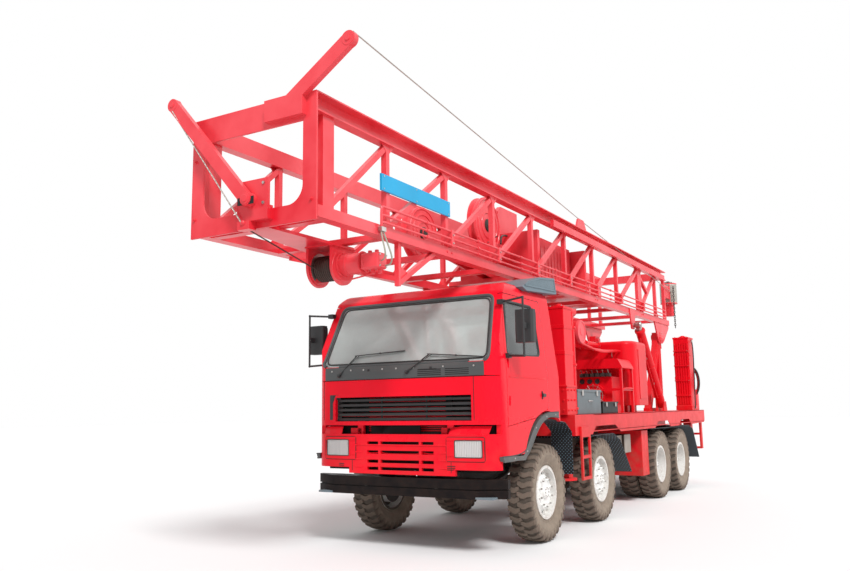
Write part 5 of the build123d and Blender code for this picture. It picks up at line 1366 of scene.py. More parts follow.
        # dark strips in the vents are painted shade in their slots
        for low, high in ((0.603, 0.702), (-0.850, -0.773)):
            for z in (0.890, 0.909, 0.928):
                shape.strip(self.panels, (low, high), (z, z + 0.010), Finish.DARK, 0.002, 0.004, (4, 1))
        for y, z, steps in self.seams:
            shape.strip(self.panels, (y - 0.0035, y + 0.0035), z, Finish.DARK, 0.0012, 0.003, (1, steps), 0.0)
        low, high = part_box("front_bumper")
        shape.box((high.x - 0.16, low.y + 0.10, low.z - 0.001),
                  (high.x - 0.012, high.y - 0.10, low.z + 0.022), Finish.GREY_TRIM, 0.004)
        for sign in (1, -1):
            foot = Vector((high.x - 0.01, sign * 0.46, (low.z + high.z) / 2))
            shape.lathe([(0.0, 0.006), (0.034, 0.006), (0.036, 0.0), (0.036, -0.01)], foot,
                        AHEAD, Finish.DARK, 24)
        shape.place("front_fittings", Body.CHASSIS)


@dataclass
class CabSides:
    """Handles, window seals, creases and arch trims on both sides of the cab."""

    arch_outer: Sequence[tuple[float, float]] = (
        (1.239, 1.037), (0.715, 1.022), (0.572, 1.160), (0.407, 1.323), (0.198, 1.440),
        (-0.051, 1.488), (-0.364, 1.485))
    arch_inner: Sequence[tuple[float, float]] = (
        (1.220, 0.986), (0.671, 0.971), (0.485, 1.127), (0.290, 1.310), (0.094, 1.407),
        (-0.130, 1.445), (-0.357, 1.420))
    arch_screws: Sequence[tuple[float, float]] = (
        (0.95, 1.005), (0.62, 1.065), (0.35, 1.315), (0.03, 1.435), (-0.25, 1.453))
    # rear x, front x, z
    handle: tuple[float, float, float] = (-0.084, 0.163, 1.684)
    trim_y: float = 1.237
    mirror_middle_z: float = 2.4125

    def build(self) -> None:
        """Make the pieces of both sides."""
        for side, sign in SIDES.items():
            body = Body.DOOR_LEFT if sign > 0 else Body.DOOR_RIGHT
            self.door(side, sign, body)
            self.arch(side, sign)
            self.mirror_glass(side, sign, body)

    def door(self, side: str, sign: int, body: Body) -> None:
        """Seal round the window, the handle in its cup with painted shade in it, the crease and the hinges.
        """
        panel = Skin(f"door_{side}", f"door_glass_{side}")
        shape = Shape()
        low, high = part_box(f"door_glass_{side}")
        front, rear = high.x - FRONT_AXLE_X, low.x - FRONT_AXLE_X
        corners = [(front - 0.004, low.z), (rear + 0.002, low.z + 0.028), (rear + 0.062, high.z),
                   (front - 0.105, high.z)]
        loop = rounded(corners, 0.075)
        shape.pipe([panel.side(x, z, sign, 0.003) for x, z in loop], 0.013, Finish.BLACK_TRIM,
                   closed=True, steps=2)
        x0, x1, z = self.handle
        # the dark plate in the cup is painted shade in its recess
        for half, lift, finish in ((0.048, 0.002, Finish.DARK), (0.020, 0.020, Finish.BLACK_TRIM)):
            spots = [panel.side(x, z, sign) for x in (x0 + 0.01, x1 - 0.01)]
            middle = (spots[0] + spots[1]) / 2
            out = Vector((0, sign * lift, 0))
            shape.bar(spots[0] + out, spots[1] + out, 0.010, half * 2, finish, LEFT, 0.004)
        shape.rod(middle + Vector((-0.16, sign * -0.002, 0)), middle + Vector((-0.16, sign * 0.006, 0)),
                  0.012, Finish.STEEL, 18, bevel=0.002)
        for z in (1.872, 1.880):
            shape.pipe([panel.side(-0.27 + 0.13 * i, z, sign, 0.0015) for i in range(11)], 0.004,
                       Finish.CAB_RED, steps=1)
        for z in (1.62, 2.02):
            spot = panel.side(1.02, z, sign)
            shape.bar(spot - Vector((0, 0, 0.05)), spot + Vector((0, 0, 0.05)), 0.024, 0.030, Finish.CAB_RED,
                      LEFT, 0.006)
        crease = [(1.0, 1.355), (0.771, 1.391), (0.55, 1.420), (0.372, 1.443), (0.1, 1.462)]
        shape.pipe([panel.side(x, z, sign, 0.001) for x, z in crease], 0.006, Finish.CAB_RED, steps=3)
        shape.place(f"door_trim_{side}", body)

    def arch(self, side: str, sign: int) -> None:
        """Dark flare round the front wheel's arch."""
        shape = Shape()
        for a, b, c, d in zip(self.arch_outer, self.arch_outer[1:], self.arch_inner[1:], self.arch_inner):
            corners = [at(x, sign * self.trim_y, z) for x, z in (a, b, c, d)]
            shape.plate(corners, Vector((0, -sign * 0.045, 0)), Finish.COWL, 0.0)
        for outline, radius, finish in ((self.arch_inner, 0.011, Finish.COWL),
                                        (self.arch_outer, 0.007, Finish.BLACK_TRIM)):
            rim = [at(x, sign * (self.trim_y - 0.004), z) for x, z in outline]
            shape.pipe(rim, radius, finish, steps=6)
        spots = [at(x, sign * self.trim_y, z) for x, z in self.arch_screws]
        shape.bolts(spots, LEFT * sign, 0.010, 0.004, Finish.STEEL, 12)
        shape.place(f"arch_flare_{side}", Body.CHASSIS)

    def mirror_glass(self, side: str, sign: int, body: Body) -> None:
        """Reflecting face at the back of the mirror, in a raised frame."""
        low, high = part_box(f"mirror_{side}")
        y = (high.y if sign > 0 else low.y) - sign * 0.105
        rear, z = low.x + 0.001, self.mirror_middle_z
        shape = Shape()
        shape.box((rear - 0.004, y - 0.085, z - 0.155), (rear + 0.002, y + 0.085, z + 0.155), Finish.MIRROR,
                  0.003)
        frame_loop = rounded(oblong((-0.094, 0.094), (-0.165, 0.165)), 0.03)
        shape.pipe([Vector((rear, y + a, z + b)) for a, b in frame_loop], 0.006, Finish.BLACK_TRIM,
                   closed=True, steps=2)
        shape.place(f"mirror_face_{side}", body)


@dataclass
class RoofGear:
    """Perforated side of the roof's hood with its rim, and the hood's louvres."""

    def build(self) -> None:
        """Make the hood's skin."""
        low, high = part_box("roof_hood")
        shape = Shape()
        outline = [(0.44, 2.960), (0.28, 3.022), (-0.02, 3.092), (-0.46, 3.137), (-0.51, 2.995)]
        shape.plate([at(x, high.y + 0.001, z) for x, z in outline], Vector((0, 0.004, 0)), Finish.HOOD_MESH,
                    0.0)
        for a, b in zip(outline, outline[1:] + outline[:1]):
            shape.bar(at(a[0], high.y + 0.004, a[1]), at(b[0], high.y + 0.004, b[1]), 0.012, 0.016,
                      Finish.GREY_TRIM, LEFT, 0.003)
        for i in range(6):
            x, z = -0.40 + 0.12 * i, 3.155 - 0.055 * i * (0.5 + i * 0.08)
            shape.bar(at(x, low.y + 0.04, z), at(x, high.y - 0.04, z), 0.02, 0.008, Finish.GREY_TRIM, AHEAD,
                      0.002)
        shape.place("hood_skin", Body.CHASSIS)


@dataclass
class Interior:
    """Dash, steering wheel and two padded seats behind the screen."""

    seat_y: float = 0.68
    seat_width: float = 0.50

    def build(self) -> None:
        """Make the dash piece and the cushions."""
        shape = Shape().node("cab_interior", Finish.DASH, 0.006)
        for y in (-self.seat_y, self.seat_y):
            shape.box(at(0.70, y - 0.14, 1.985), at(0.95, y + 0.14, 2.03), Finish.BLACK_TRIM, 0.02)
        shape.box(at(0.66, -0.30, 1.60), at(0.72, 0.30, 1.98), Finish.BLACK_TRIM, 0.015)
        shape.place("cab_fittings", Body.CHASSIS, ["cab_interior"])
        for name, sign in (("driver", -1), ("mate", 1)):
            y = sign * self.seat_y
            self.cushion(f"{name}_seat", at(0.13, y, 1.955), (0.50, self.seat_width, 0.14), 0.0)
            self.cushion(f"{name}_back", at(-0.145, y, 2.28), (0.12, self.seat_width - 0.04, 0.62), -0.14)
            self.cushion(f"{name}_headrest", at(-0.195, y, 2.68), (0.10, 0.28, 0.18), -0.14)

    def cushion(self, name: str, centre: Vector, size: tuple[float, float, float], lean: float) -> None:
        """Crowned pad whose sides pull in between its corners, with sewn channels."""
        bm = bmesh.new()
        bmesh.ops.create_cube(bm, size=1.0)
        bmesh.ops.subdivide_edges(bm, edges=bm.edges[:], cuts=7, use_grid_fill=True)
        for vert in bm.verts:
            u, v, w = vert.co * 2
            pull = 1.0 - 0.05 * (1 - abs(u)) * (1 - abs(v)) - 0.04 * abs(w) ** 2
            crown = 1.0 + 0.16 * math.cos(u * 1.4) * math.cos(v * 1.4) * math.cos(w * 1.2)
            seam = 1.0 - 0.05 * math.exp(-((abs(v) - 0.5) * 9) ** 2)
            vert.co = Vector((vert.co.x * size[0] * crown * pull, vert.co.y * size[1] * pull * 0.97,
                              vert.co.z * size[2] * crown * seam * pull))
        turn = Matrix.Translation(centre) @ Matrix.Rotation(lean, 4, "Y")
        bmesh.ops.transform(bm, matrix=turn, verts=bm.verts)
        bmesh.ops.smooth_vert(bm, verts=bm.verts, factor=0.4, use_axis_x=True, use_axis_y=True,
                              use_axis_z=True)
        shape = Shape()
        piece = shape.take(bm, Finish.CAB_CLOTH).place(name, Body.CHASSIS)
        smooth = piece.modifiers.new("soft", "SUBSURF")
        smooth.levels = smooth.render_levels = 1


@dataclass
class JackTrim:
    """Bands, caps, pipes, hoses and bolts on the four jack columns."""

    # name, x, y, width along x, width along y, top
    columns: Sequence[tuple[str, float, float, float, float, float]] = (
        ("front", -1.035, 1.025, 0.300, 0.230, 2.850),
        ("rear", -7.990, 0.995, 0.400, 0.300, 2.910),
    )
    base: float = 1.44

    def build(self) -> None:
        """Dress the columns of both sides."""
        for name, x, y, wide, deep, top in self.columns:
            for side, sign in SIDES.items():
                shape = Shape()
                self.column(shape, name, x, sign * y, wide, deep, top)
                if name == "front":
                    self.front_pipe(shape, sign)
                else:
                    self.rear_flutes(shape, x, sign * y, wide, deep)
                shape.place(f"column_fittings_{name}_{side}", Body.CHASSIS)

    def column(self, shape: Shape, name: str, x: float, y: float, wide: float, deep: float,
               top: float) -> None:
        """Cap lip, cylinder head and bolts, bands, and on the front columns a bolted flange."""
        half_x, half_y = wide / 2, deep / 2
        red = Finish.DECK_RED

        def band(grow: float, low: float, high: float, bevel: float = 0.003) -> None:
            """Block round the column that stands out on all four sides."""
            reach_x, reach_y = half_x + grow, half_y + grow
            shape.box(at(x - reach_x, y - reach_y, low), at(x + reach_x, y + reach_y, high), red, bevel)

        band(0.010, top - 0.028, top + 0.006, 0.005)
        shape.lathe([(0.0, 0.045), (0.035, 0.045), (0.045, 0.030), (0.072, 0.028), (0.075, 0.0)],
                    at(x, y, top + 0.004), UP, red, 28)
        shape.bolts([at(x + a * (half_x - 0.04), y + b * (half_y - 0.035), top + 0.006)
                     for a in (-1, 1) for b in (-1, 1)], UP, 0.014, 0.014, Finish.STEEL)
        for above in (0.78, 1.12) if name == "front" else (0.62, 1.1):
            band(0.006, self.base + above, self.base + above + 0.05)
        if name == "front":
            z = self.base + 0.38
            band(0.022, z - 0.022, z)
            spots = [at(x + a, y + math.copysign(half_y + 0.012, y), z - 0.19 + b)
                     for a in (-0.12, 0.0, 0.12) for b in (-0.13, 0.0, 0.13)]
            shape.bolts(spots, Vector((0, math.copysign(1, y), 0)), 0.015, 0.013, red)
            spots = [at(x + half_x + 0.012, y + a, z - 0.19 + b) for a in (-0.08, 0.08)
                     for b in (-0.13, 0.0, 0.13)]
            shape.bolts(spots, AHEAD, 0.015, 0.013, red)

    def front_pipe(self, shape: Shape, sign: int) -> None:
        """Round tube behind the front column with an elbow at its top and a strap."""
        red = Finish.DECK_RED
        x, y = -1.285, sign * 1.06
        shape.rod(at(x, y, 1.45), at(x, y, 2.62), 0.074, red, 32, bevel=0.004)
        shape.pipe(line((x, y, 2.60), (x, y, 2.72), (x, y, 2.79), (x - 0.05, y, 2.82), (x - 0.16, y, 2.82)),
                   0.060, red, steps=10)
        for z in (1.52, 2.10, 2.60):
            shape.clip(at(x, y, z), UP, 0.088, 0.035, red)
        shape.bar(at(x + 0.06, y, 2.10), at(-1.18, y, 2.10), 0.05, 0.03, red, LEFT)
        hose = line((-0.93, y - sign * 0.13, 2.74), (-0.80, y - sign * 0.12, 2.68),
                    (-0.80, y - sign * 0.10, 2.3),
                    (-0.82, y - sign * 0.08, 1.9), (-0.84, y - sign * 0.10, 1.46))
        shape.pipe(hose, 0.013, Finish.HOSE, steps=8)
        shape.clip(hose[0], Vector((1, 0, -0.3)), 0.019, 0.05, Finish.STEEL)

    def rear_flutes(self, shape: Shape, x: float, y: float, wide: float, deep: float) -> None:
        """Ribbed front face of a rear column with pipe clamps down it."""
        red = Finish.DECK_RED
        front = x + wide / 2
        for i in range(6):
            a = y - deep / 2 + 0.03 + i * (deep - 0.06) / 5
            shape.box(at(front - 0.002, a - 0.009, 1.56), at(front + 0.016, a + 0.009, 2.80), red, 0.004)
        for z in (1.72, 2.02, 2.32, 2.62):
            shape.box(at(front, y - deep / 2 - 0.004, z), at(front + 0.026, y + deep / 2 + 0.004, z + 0.03),
                      red, 0.003)
            shape.bolts([at(front + 0.026, y + a, z + 0.015) for a in (-deep / 2 + 0.02, deep / 2 - 0.02)],
                        AHEAD, 0.009, 0.010, Finish.STEEL)
        out = math.copysign(1, y)
        shape.box(at(x - 0.24, y - 0.10, 2.60), at(x - wide / 2 + 0.002, y + 0.10, 2.776), red, 0.008)
        hose = line((x, y + out * (deep / 2 + 0.03), 2.84), (x, y + out * (deep / 2 + 0.05), 2.7),
                    (x + 0.02, y + out * (deep / 2 + 0.04), 2.1),
                    (x + 0.03, y + out * (deep / 2 + 0.03), 1.47))
        shape.pipe(hose, 0.012, Finish.HOSE, steps=8)
        shape.clip(hose[0], UP, 0.019, 0.05, Finish.STEEL)


@dataclass
class DeckGear:
    """Fittings along the deck: rolled lips, box lids and blank plates."""

    edge_y: float = 1.235

    def build(self) -> None:
        """Make the deck's own trims and what stands on it."""
        self.edges()
        self.boxes()
        self.tanks()

    def edges(self) -> None:
        """Rolled lips along the top and foot of both sides."""
        shape = Shape()
        red = Finish.DECK_RED
        for sign in (1, -1):
            y = sign * self.edge_y
            for z in (1.215, 1.434):
                shape.box(at(-8.40, y, z - 0.006), at(-1.62, y - sign * 0.03, z + 0.006), red, 0.002)
        shape.place("deck_edges", Body.CHASSIS)

    def boxes(self) -> None:
        """Lids, hinges, catches and handles of the deck boxes."""
        shape = Shape()
        grey = Finish.GREY_PAINT
        for sign in (1, -1):
            shape.box(at(-2.24, sign * 0.69, 1.74), at(-1.28, sign * 1.15, 1.776), grey, 0.006)
            face = sign * 1.142
            for x in (-2.05, -1.47):
                shape.box(at(x - 0.03, face, 1.69), at(x + 0.03, face + sign * 0.014, 1.765), Finish.STEEL,
                          0.003)
            shape.handle(at(-1.82, face, 1.62), LEFT * (sign * 0.035), AHEAD * 0.12)
            shape.rod(at(-2.24, sign * 0.69, 1.76), at(-1.28, sign * 0.69, 1.76), 0.010, Finish.STEEL, 10)
        shape.box(at(-3.01, 0.75, 1.585), at(-2.28, 1.15, 1.612), Finish.BLACK_PAINT, 0.006)
        for y in (0.69, -1.142):
            shape.box(at(-1.292, y, 1.442), at(-1.284, y + 0.452, 1.738), grey, 0.004)
        for x in (-2.86, -2.45):
            shape.box(at(x - 0.025, 1.14, 1.54), at(x + 0.025, 1.156, 1.60), Finish.STEEL, 0.003)
        shape.place("box_lids", Body.CHASSIS)

    def tanks(self) -> None:
        """Blank plates with corner screws under the deck."""
        shape = Shape()
        for sign in (1, -1):
            y = sign * 1.062
            shape.box(at(-3.34, y, 0.95), at(-3.02, y + sign * 0.006, 1.10), Finish.PALE_PLATE, 0.002)
            shape.bolts([at(x, y + sign * 0.006, z) for x in (-3.32, -3.04) for z in (0.97, 1.08)],
                        LEFT * sign, 0.006, 0.003, Finish.STEEL, 10)
        shape.place("under_deck_plate", Body.CHASSIS)


@dataclass
class MachineTrim:
    """Panels, louvres, clamps, levers and hoses on the machinery behind the cab."""

    house_x: tuple[float, float] = (-5.330, -4.400)
    house_half: float = 1.010
    unit_x: tuple[float, float] = (-4.330, -3.720)
    unit_y: tuple[float, float] = (0.200, 1.000)
    disc: tuple[float, float, float] = (-2.210, 0.900, 2.625)
    # y, z, radius of the pipes that run back from the silencer
    exhausts: Sequence[tuple[float, float, float]] = (
        (-0.45, 2.70, 0.060), (-0.25, 2.56, 0.090), (0.10, 2.66, 0.075), (0.38, 2.56, 0.070))

    def build(self) -> None:
        """Make the pieces."""
        self.house()
        self.unit()
        self.silencer()

    def house(self) -> None:
        """Side panels, louvred front doors with handles and roof hatch of the big enclosure."""
        shape = Shape()
        red = Finish.DECK_RED
        x0, x1 = self.house_x
        for sign in (1, -1):
            y = sign * (self.house_half + 0.001)
            outline = oblong((x0 + 0.25, x1 - 0.25), (1.66, 2.50))
            shape.plate([at(x, y, z) for x, z in outline], LEFT * (sign * 0.008), red, 0.003)
        front = x1 + 0.001
        for low, high in ((-0.70, -0.02), (0.02, 0.70)):
            shape.box(at(front, low, 1.64), at(front + 0.009, high, 2.50), red, 0.003)
            for i in range(10):
                z = 1.76 + 0.05 * i
                shape.box(at(front + 0.009, low + 0.10, z), at(front + 0.016, high - 0.10, z + 0.014), red,
                          0.002)
                # dark strip under each louvre: painted shade in its gap
                shape.box(at(front + 0.0092, low + 0.10, z - 0.010), at(front + 0.010, high - 0.10, z),
                          Finish.DARK, 0.0)
            side = high - 0.05 if high > 0.1 else low + 0.05
            shape.handle(at(front + 0.008, side, 2.36), AHEAD * 0.035, UP * 0.11)
        middle = (x0 + x1) / 2
        shape.box(at(middle - 0.24, -0.30, 2.641), at(middle + 0.24, 0.30, 2.668), red, 0.008)
        shape.place("enclosure_panels", Body.CHASSIS)

    def unit(self) -> None:
        """Fan guard, valve levers, dials and hoses under the canopy."""
        shape = Shape()
        x0, x1 = self.unit_x
        y0, y1 = self.unit_y
        fan = at(x1 - 0.036, 0.50, 1.72)
        for radius in (0.06, 0.11, 0.16):
            shape.pipe(circle(fan, "X", radius, 20), 0.004, Finish.STEEL, closed=True, steps=2)
        for i in range(6):
            angle = math.pi * i / 6
            reach = Vector((0, math.cos(angle), math.sin(angle))) * 0.185
            shape.rod(fan - reach, fan + reach, 0.0035, Finish.STEEL, 6)
        for i in range(6):
            y = y0 + 0.12 + 0.09 * i
            shape.box(at(x1 - 0.10, y - 0.03, 2.02), at(x1 + 0.00, y + 0.03, 2.075), Finish.CAST, 0.005)
            shape.rod(at(x1 - 0.05, y, 2.07), at(x1 + 0.01, y, 2.135), 0.006, Finish.STEEL, 8)
        for i in range(3):
            spot = at(x1 - 0.090, 0.30 + 0.13 * i, 1.95)
            shape.lathe([(0.0, 0.010), (0.034, 0.010), (0.040, 0.014), (0.042, 0.0)], spot, AHEAD,
                        Finish.BLACK_TRIM, 24)
        for i in range(4):
            y = 0.32 + 0.11 * i
            shape.pipe(line((x1 - 0.08, y, 1.62), (x1 + 0.03, y, 1.60), (x1 + 0.05, y + 0.02, 1.52),
                            (x1 + 0.02, y + 0.04, 1.45)), 0.014, Finish.HOSE, steps=6)
        shape.pipe(line((x0 + 0.02, y1 - 0.02, 1.80), (x0 + 0.02, y1 + 0.02, 1.83),
                        (x1 - 0.04, y1 + 0.02, 1.83),
                        (x1 - 0.02, y1 - 0.02, 1.80)), 0.012, Finish.DECK_RED, steps=4)
        shape.place("unit_fittings", Body.CHASSIS)

    def silencer(self) -> None:
        """Rimmed end discs, straps, bolted pipe clamps and three thin pipes."""
        shape = Shape()
        x, y, z = self.disc
        red = Finish.DECK_RED
        for sign in (1, -1):
            shape.lathe([(0.0, 0.012), (0.05, 0.012), (0.06, 0.004), (0.135, 0.004), (0.150, 0.014),
                         (0.168, 0.012),
                         (0.172, 0.0), (0.172, -0.03)], at(x, sign * (y - (0.02 if sign < 0 else 0.0)), z),
                        LEFT * sign, Finish.MAST_RED, 40)
        for a in (-0.60, -0.2, 0.2, 0.60):
            shape.clip(at(x, a, z), LEFT, 0.177, 0.04, Finish.STEEL if abs(a) > 0.3 else red)
        for py, pz, radius in self.exhausts:
            for px in (-2.42, -3.05, -3.70, -4.33):
                shape.clip(at(px, py, pz), AHEAD, radius + 0.022, 0.024, red)
                spots = circle(at(px + 0.012, py, pz), "X", radius + 0.010, 6)
                shape.bolts(spots, AHEAD, 0.009, 0.010, Finish.STEEL)
        for py, lift in ((0.62, 0.03), (0.70, 0.0), (0.78, -0.03)):
            shape.pipe(line((-2.34, py, 2.50), (-2.60, py, 2.50 + lift), (-3.4, py, 2.42 + lift),
                            (-4.10, py, 2.46), (-4.38, py, 2.46)), 0.022, red, steps=8)
        shape.place("pipe_fittings", Body.CHASSIS)


@dataclass
class MastTrim:
    """Bolts, gussets, clamps and caps on the mast."""

    half: float = 0.750
    low: float = 3.185
    low_top: float = 3.290
    high_under: float = 4.130
    front: float = 3.760
    pivot: tuple[float, float, float] = (-7.300, 0.730, 2.900)
    wide_post: float = -6.015
    gusset: float = 0.075
    posts: tuple[float, ...] = (2.602, 1.430, 0.238, -0.955, -2.179, -3.410, -4.657, -6.015, -7.155)

    def build(self) -> None:
        """Make the pieces."""
        self.crown()
        self.joints()
        self.pipes()
        self.pins()

    def crown(self) -> None:
        """Bolts, holes and a slot drawn dark as painted shade, sheave caps and the rope's guide ring on the
        crown.
        """
        shape = Shape()
        red = Finish.MAST_RED
        spots = [at(self.front, y, z) for y, z in ((0.701, 3.336), (-0.701, 3.336), (-0.701, 3.90))]
        shape.bolts(spots, AHEAD, 0.017, 0.014, red)
        shape.bolts(spots, AHEAD, 0.009, 0.024, red, 10)
        shape.bolts([at(self.front + 0.070, 0.22, z) for z in (3.36, 3.54)], AHEAD, 0.016, 0.012,
                    Finish.STEEL)
        # dark discs for the holes and a dark slot: painted shade inside them
        for y, z in ((-0.055, 3.40), (-0.055, 3.53)):
            shape.lathe([(0.0, 0.003), (0.030, 0.003), (0.030, 0.0)], at(self.front + 0.070, y, z), AHEAD,
                        Finish.DARK, 24)
        shape.box(at(self.front + 0.139, -0.02, 3.345), at(self.front + 0.142, 0.17, 3.415), Finish.DARK, 0.0)
        shape.lathe([(0.0, 0.016), (0.030, 0.016), (0.034, 0.008), (0.050, 0.006), (0.052, 0.0)],
                    at(self.front + 0.150, 0.077, 3.40), AHEAD, red, 24)
        for y, z, out in ((1.130, 4.660, 0.060), (-0.900, 4.470, 0.140)):
            shape.lathe([(0.0, 0.014), (0.022, 0.014), (0.026, 0.004), (0.060, 0.004), (0.062, 0.0)],
                        at(self.front + out, y, z), AHEAD, red, 24)
        shape.lathe([(0.0, 0.020), (0.012, 0.018), (0.022, 0.010), (0.026, 0.0)],
                    at(self.front + 0.091, 0.0, 3.20), AHEAD, red, 20)
        shape.place("crown_fittings", Body.MAST)

    def joints(self) -> None:
        """Small gussets where the posts meet the chords, and bolts at every second post."""
        shape = Shape()
        red = Finish.MAST_RED
        for sign in (1, -1):
            y = sign * 0.722
            for x in self.posts:
                wide = 0.115 if x == self.wide_post else 0.030
                for b in (1, -1):
                    for z, rise in ((self.low_top, self.gusset), (self.high_under, -self.gusset)):
                        a = x + b * wide
                        corners = line((a, y, z), (a + b * self.gusset, y, z), (a, y, z + rise))
                        shape.plate(corners, LEFT * (-sign * 0.008), red, 0.0)
            for x in self.posts[1::2]:
                shape.bolts([at(x + a, sign * self.half, self.low + 0.052) for a in (-0.05, 0.05)],
                            LEFT * sign, 0.013, 0.010, red)
        shape.place("mast_gussets", Body.MAST)

    def pipes(self) -> None:
        """U-bends, clamp bolts and valve at the front end of the side pipes."""
        shape = Shape()
        red = Finish.MAST_RED
        y = self.half + 0.030
        for z, drop in ((3.464, 3.30), (3.382, 3.262), (3.313, 3.243)):
            shape.pipe(line((2.752, y, z), (2.79, y, z), (2.812, y, z - 0.02), (2.812, y, drop - 0.01)),
                       0.0125, red, steps=8)
        for x in self.posts[1:8]:
            shape.bolts([at(x, y + 0.016, z) for z in (3.335, 3.425)], LEFT, 0.010, 0.012, Finish.STEEL)
        for x in (1.95, 0.80, -0.40, -1.60, -2.85, -4.05):
            for z in (3.313, 3.382, 3.464):
                shape.clip(at(x, y, z), AHEAD, 0.019, 0.045, red)
        shape.box(at(2.755, y - 0.022, 3.215), at(2.835, y + 0.022, 3.262), Finish.STEEL, 0.006)
        board = 3.7285
        for x in (1.430, 2.10, 2.702):
            shape.bolts([at(x, self.half - 0.008, board + a) for a in (-0.062, 0.062)], LEFT, 0.008,
                        0.005, Finish.STEEL)
        shape.place("side_pipe_fittings", Body.MAST)

    def pins(self) -> None:
        """Bolted caps on both ends of the mast's pivot."""
        shape = Shape()
        x, y, z = self.pivot
        for sign in (1, -1):
            side = LEFT * sign
            shape.lathe([(0.0, 0.020), (0.060, 0.020), (0.072, 0.010), (0.105, 0.008), (0.108, 0.0)],
                        at(x, sign * y, z), side, Finish.MAST_RED, 32)
            shape.bolts(circle(at(x, sign * (y + 0.008), z), "Y", 0.088, 8), side, 0.010, 0.010, Finish.STEEL)
        shape.place("pivot_caps", Body.MAST)


@dataclass
class WinchTrim:
    """Wound rope, motor ports and hoses of the front winch."""

    centre: tuple[float, float] = (WINCH_X, WINCH_Z)
    drum_y: tuple[float, float] = (-0.062, 0.168)
    rope: float = 0.012
    core_radius: float = 0.108
    wound_radius: float = 0.120
    steps: int = 4
    motor_above: float = 0.015

    def build(self) -> None:
        """Make the drum's rope, the motor's parts and the hoses."""
        x, z = self.centre
        turns = int((self.drum_y[1] - self.drum_y[0]) / (2 * self.rope))
        profile = [(self.core_radius, self.drum_y[0])]
        for i in range(turns):
            base = self.drum_y[0] + (2 * i + 1) * self.rope
            for k in range(self.steps + 1):
                angle = math.pi * k / self.steps
                radius = self.wound_radius + self.rope * math.sin(angle)
                profile.append((radius, base - self.rope * math.cos(angle)))
        profile.append((self.core_radius, profile[-1][1]))
        shape = Shape()
        shape.lathe(profile, at(x, 0, z), LEFT, Finish.WOUND, 40)
        for y, out in ((-0.080, -1), (0.181, 1)):
            shape.bolts(circle(at(x, y, z), "Y", 0.062, 6), LEFT * out, 0.008, 0.004, Finish.STEEL)
        shape.place("wound_rope", Body.WINCH)
        self.motor()
        self.hoses()

    def motor(self) -> None:
        """Flanges, bolts and ports on the gearbox and motor."""
        x, z = self.centre
        middle = z + self.motor_above
        shape = Shape()
        red = Finish.MAST_RED
        for y, radius in ((0.222, 0.128), (0.300, 0.112), (0.462, 0.116)):
            shape.clip(at(x, y, middle), LEFT, radius, 0.018, red)
        shape.bolts(circle(at(x, 0.231, middle), "Y", 0.117, 10), LEFT, 0.009, 0.009, red)
        shape.clip(at(x, 0.50, middle), LEFT, 0.092, 0.03, red)
        for y in (0.56, 0.64):
            shape.rod(at(x - 0.02, y, z - 0.06), at(x - 0.02, y, z - 0.105), 0.022, red, 18, bevel=0.003)
            shape.rod(at(x + 0.03, y, z + 0.09), at(x + 0.03, y, z + 0.120), 0.020, red, 18, bevel=0.003)
        shape.bolts([at(x + a, 0.69, middle + b) for a in (-0.055, 0.055) for b in (-0.055, 0.055)],
                    LEFT, 0.010, 0.010, Finish.STEEL)
        shape.pipe(line((x + 0.12, 0.216, z + 0.12), (x + 0.19, 0.222, z + 0.04), (x + 0.20, 0.228, z - 0.10),
                        (x + 0.12, 0.26, z - 0.17), (x + 0.04, 0.38, z - 0.14), (x - 0.02, 0.54, z - 0.10)),
                        0.008, red, steps=8)
        shape.place("winch_motor_parts", Body.MAST)

    def hoses(self) -> None:
        """Two hoses that hang from the side pipes to the motor's ports."""
        # name, radius, control points
        routes = (
            ("winch_hose_a", 0.008, ((2.775, 0.780, 3.216),
                                     (2.765, 0.790, 3.176),
                                     (2.700, 0.860, 2.900),
                                     (2.620, 0.698, 2.925))),
            ("winch_hose_b", 0.008, ((2.815, 0.780, 3.216),
                                     (2.827, 0.792, 3.175),
                                     (2.789, 0.828, 2.948),
                                     (2.690, 0.698, 2.965))),
        )
        for name, radius, spots in routes:
            points = line(*spots)
            curve = smooth_line(name, points, radius, steps=10)
            curve.materials.append(Finish.PALE_HOSE.material())
            piece = bpy.data.objects.new(name, curve)
            bpy.context.scene.collection.objects.link(piece)
            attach(piece, Body.MAST.value)
            run_length(points)


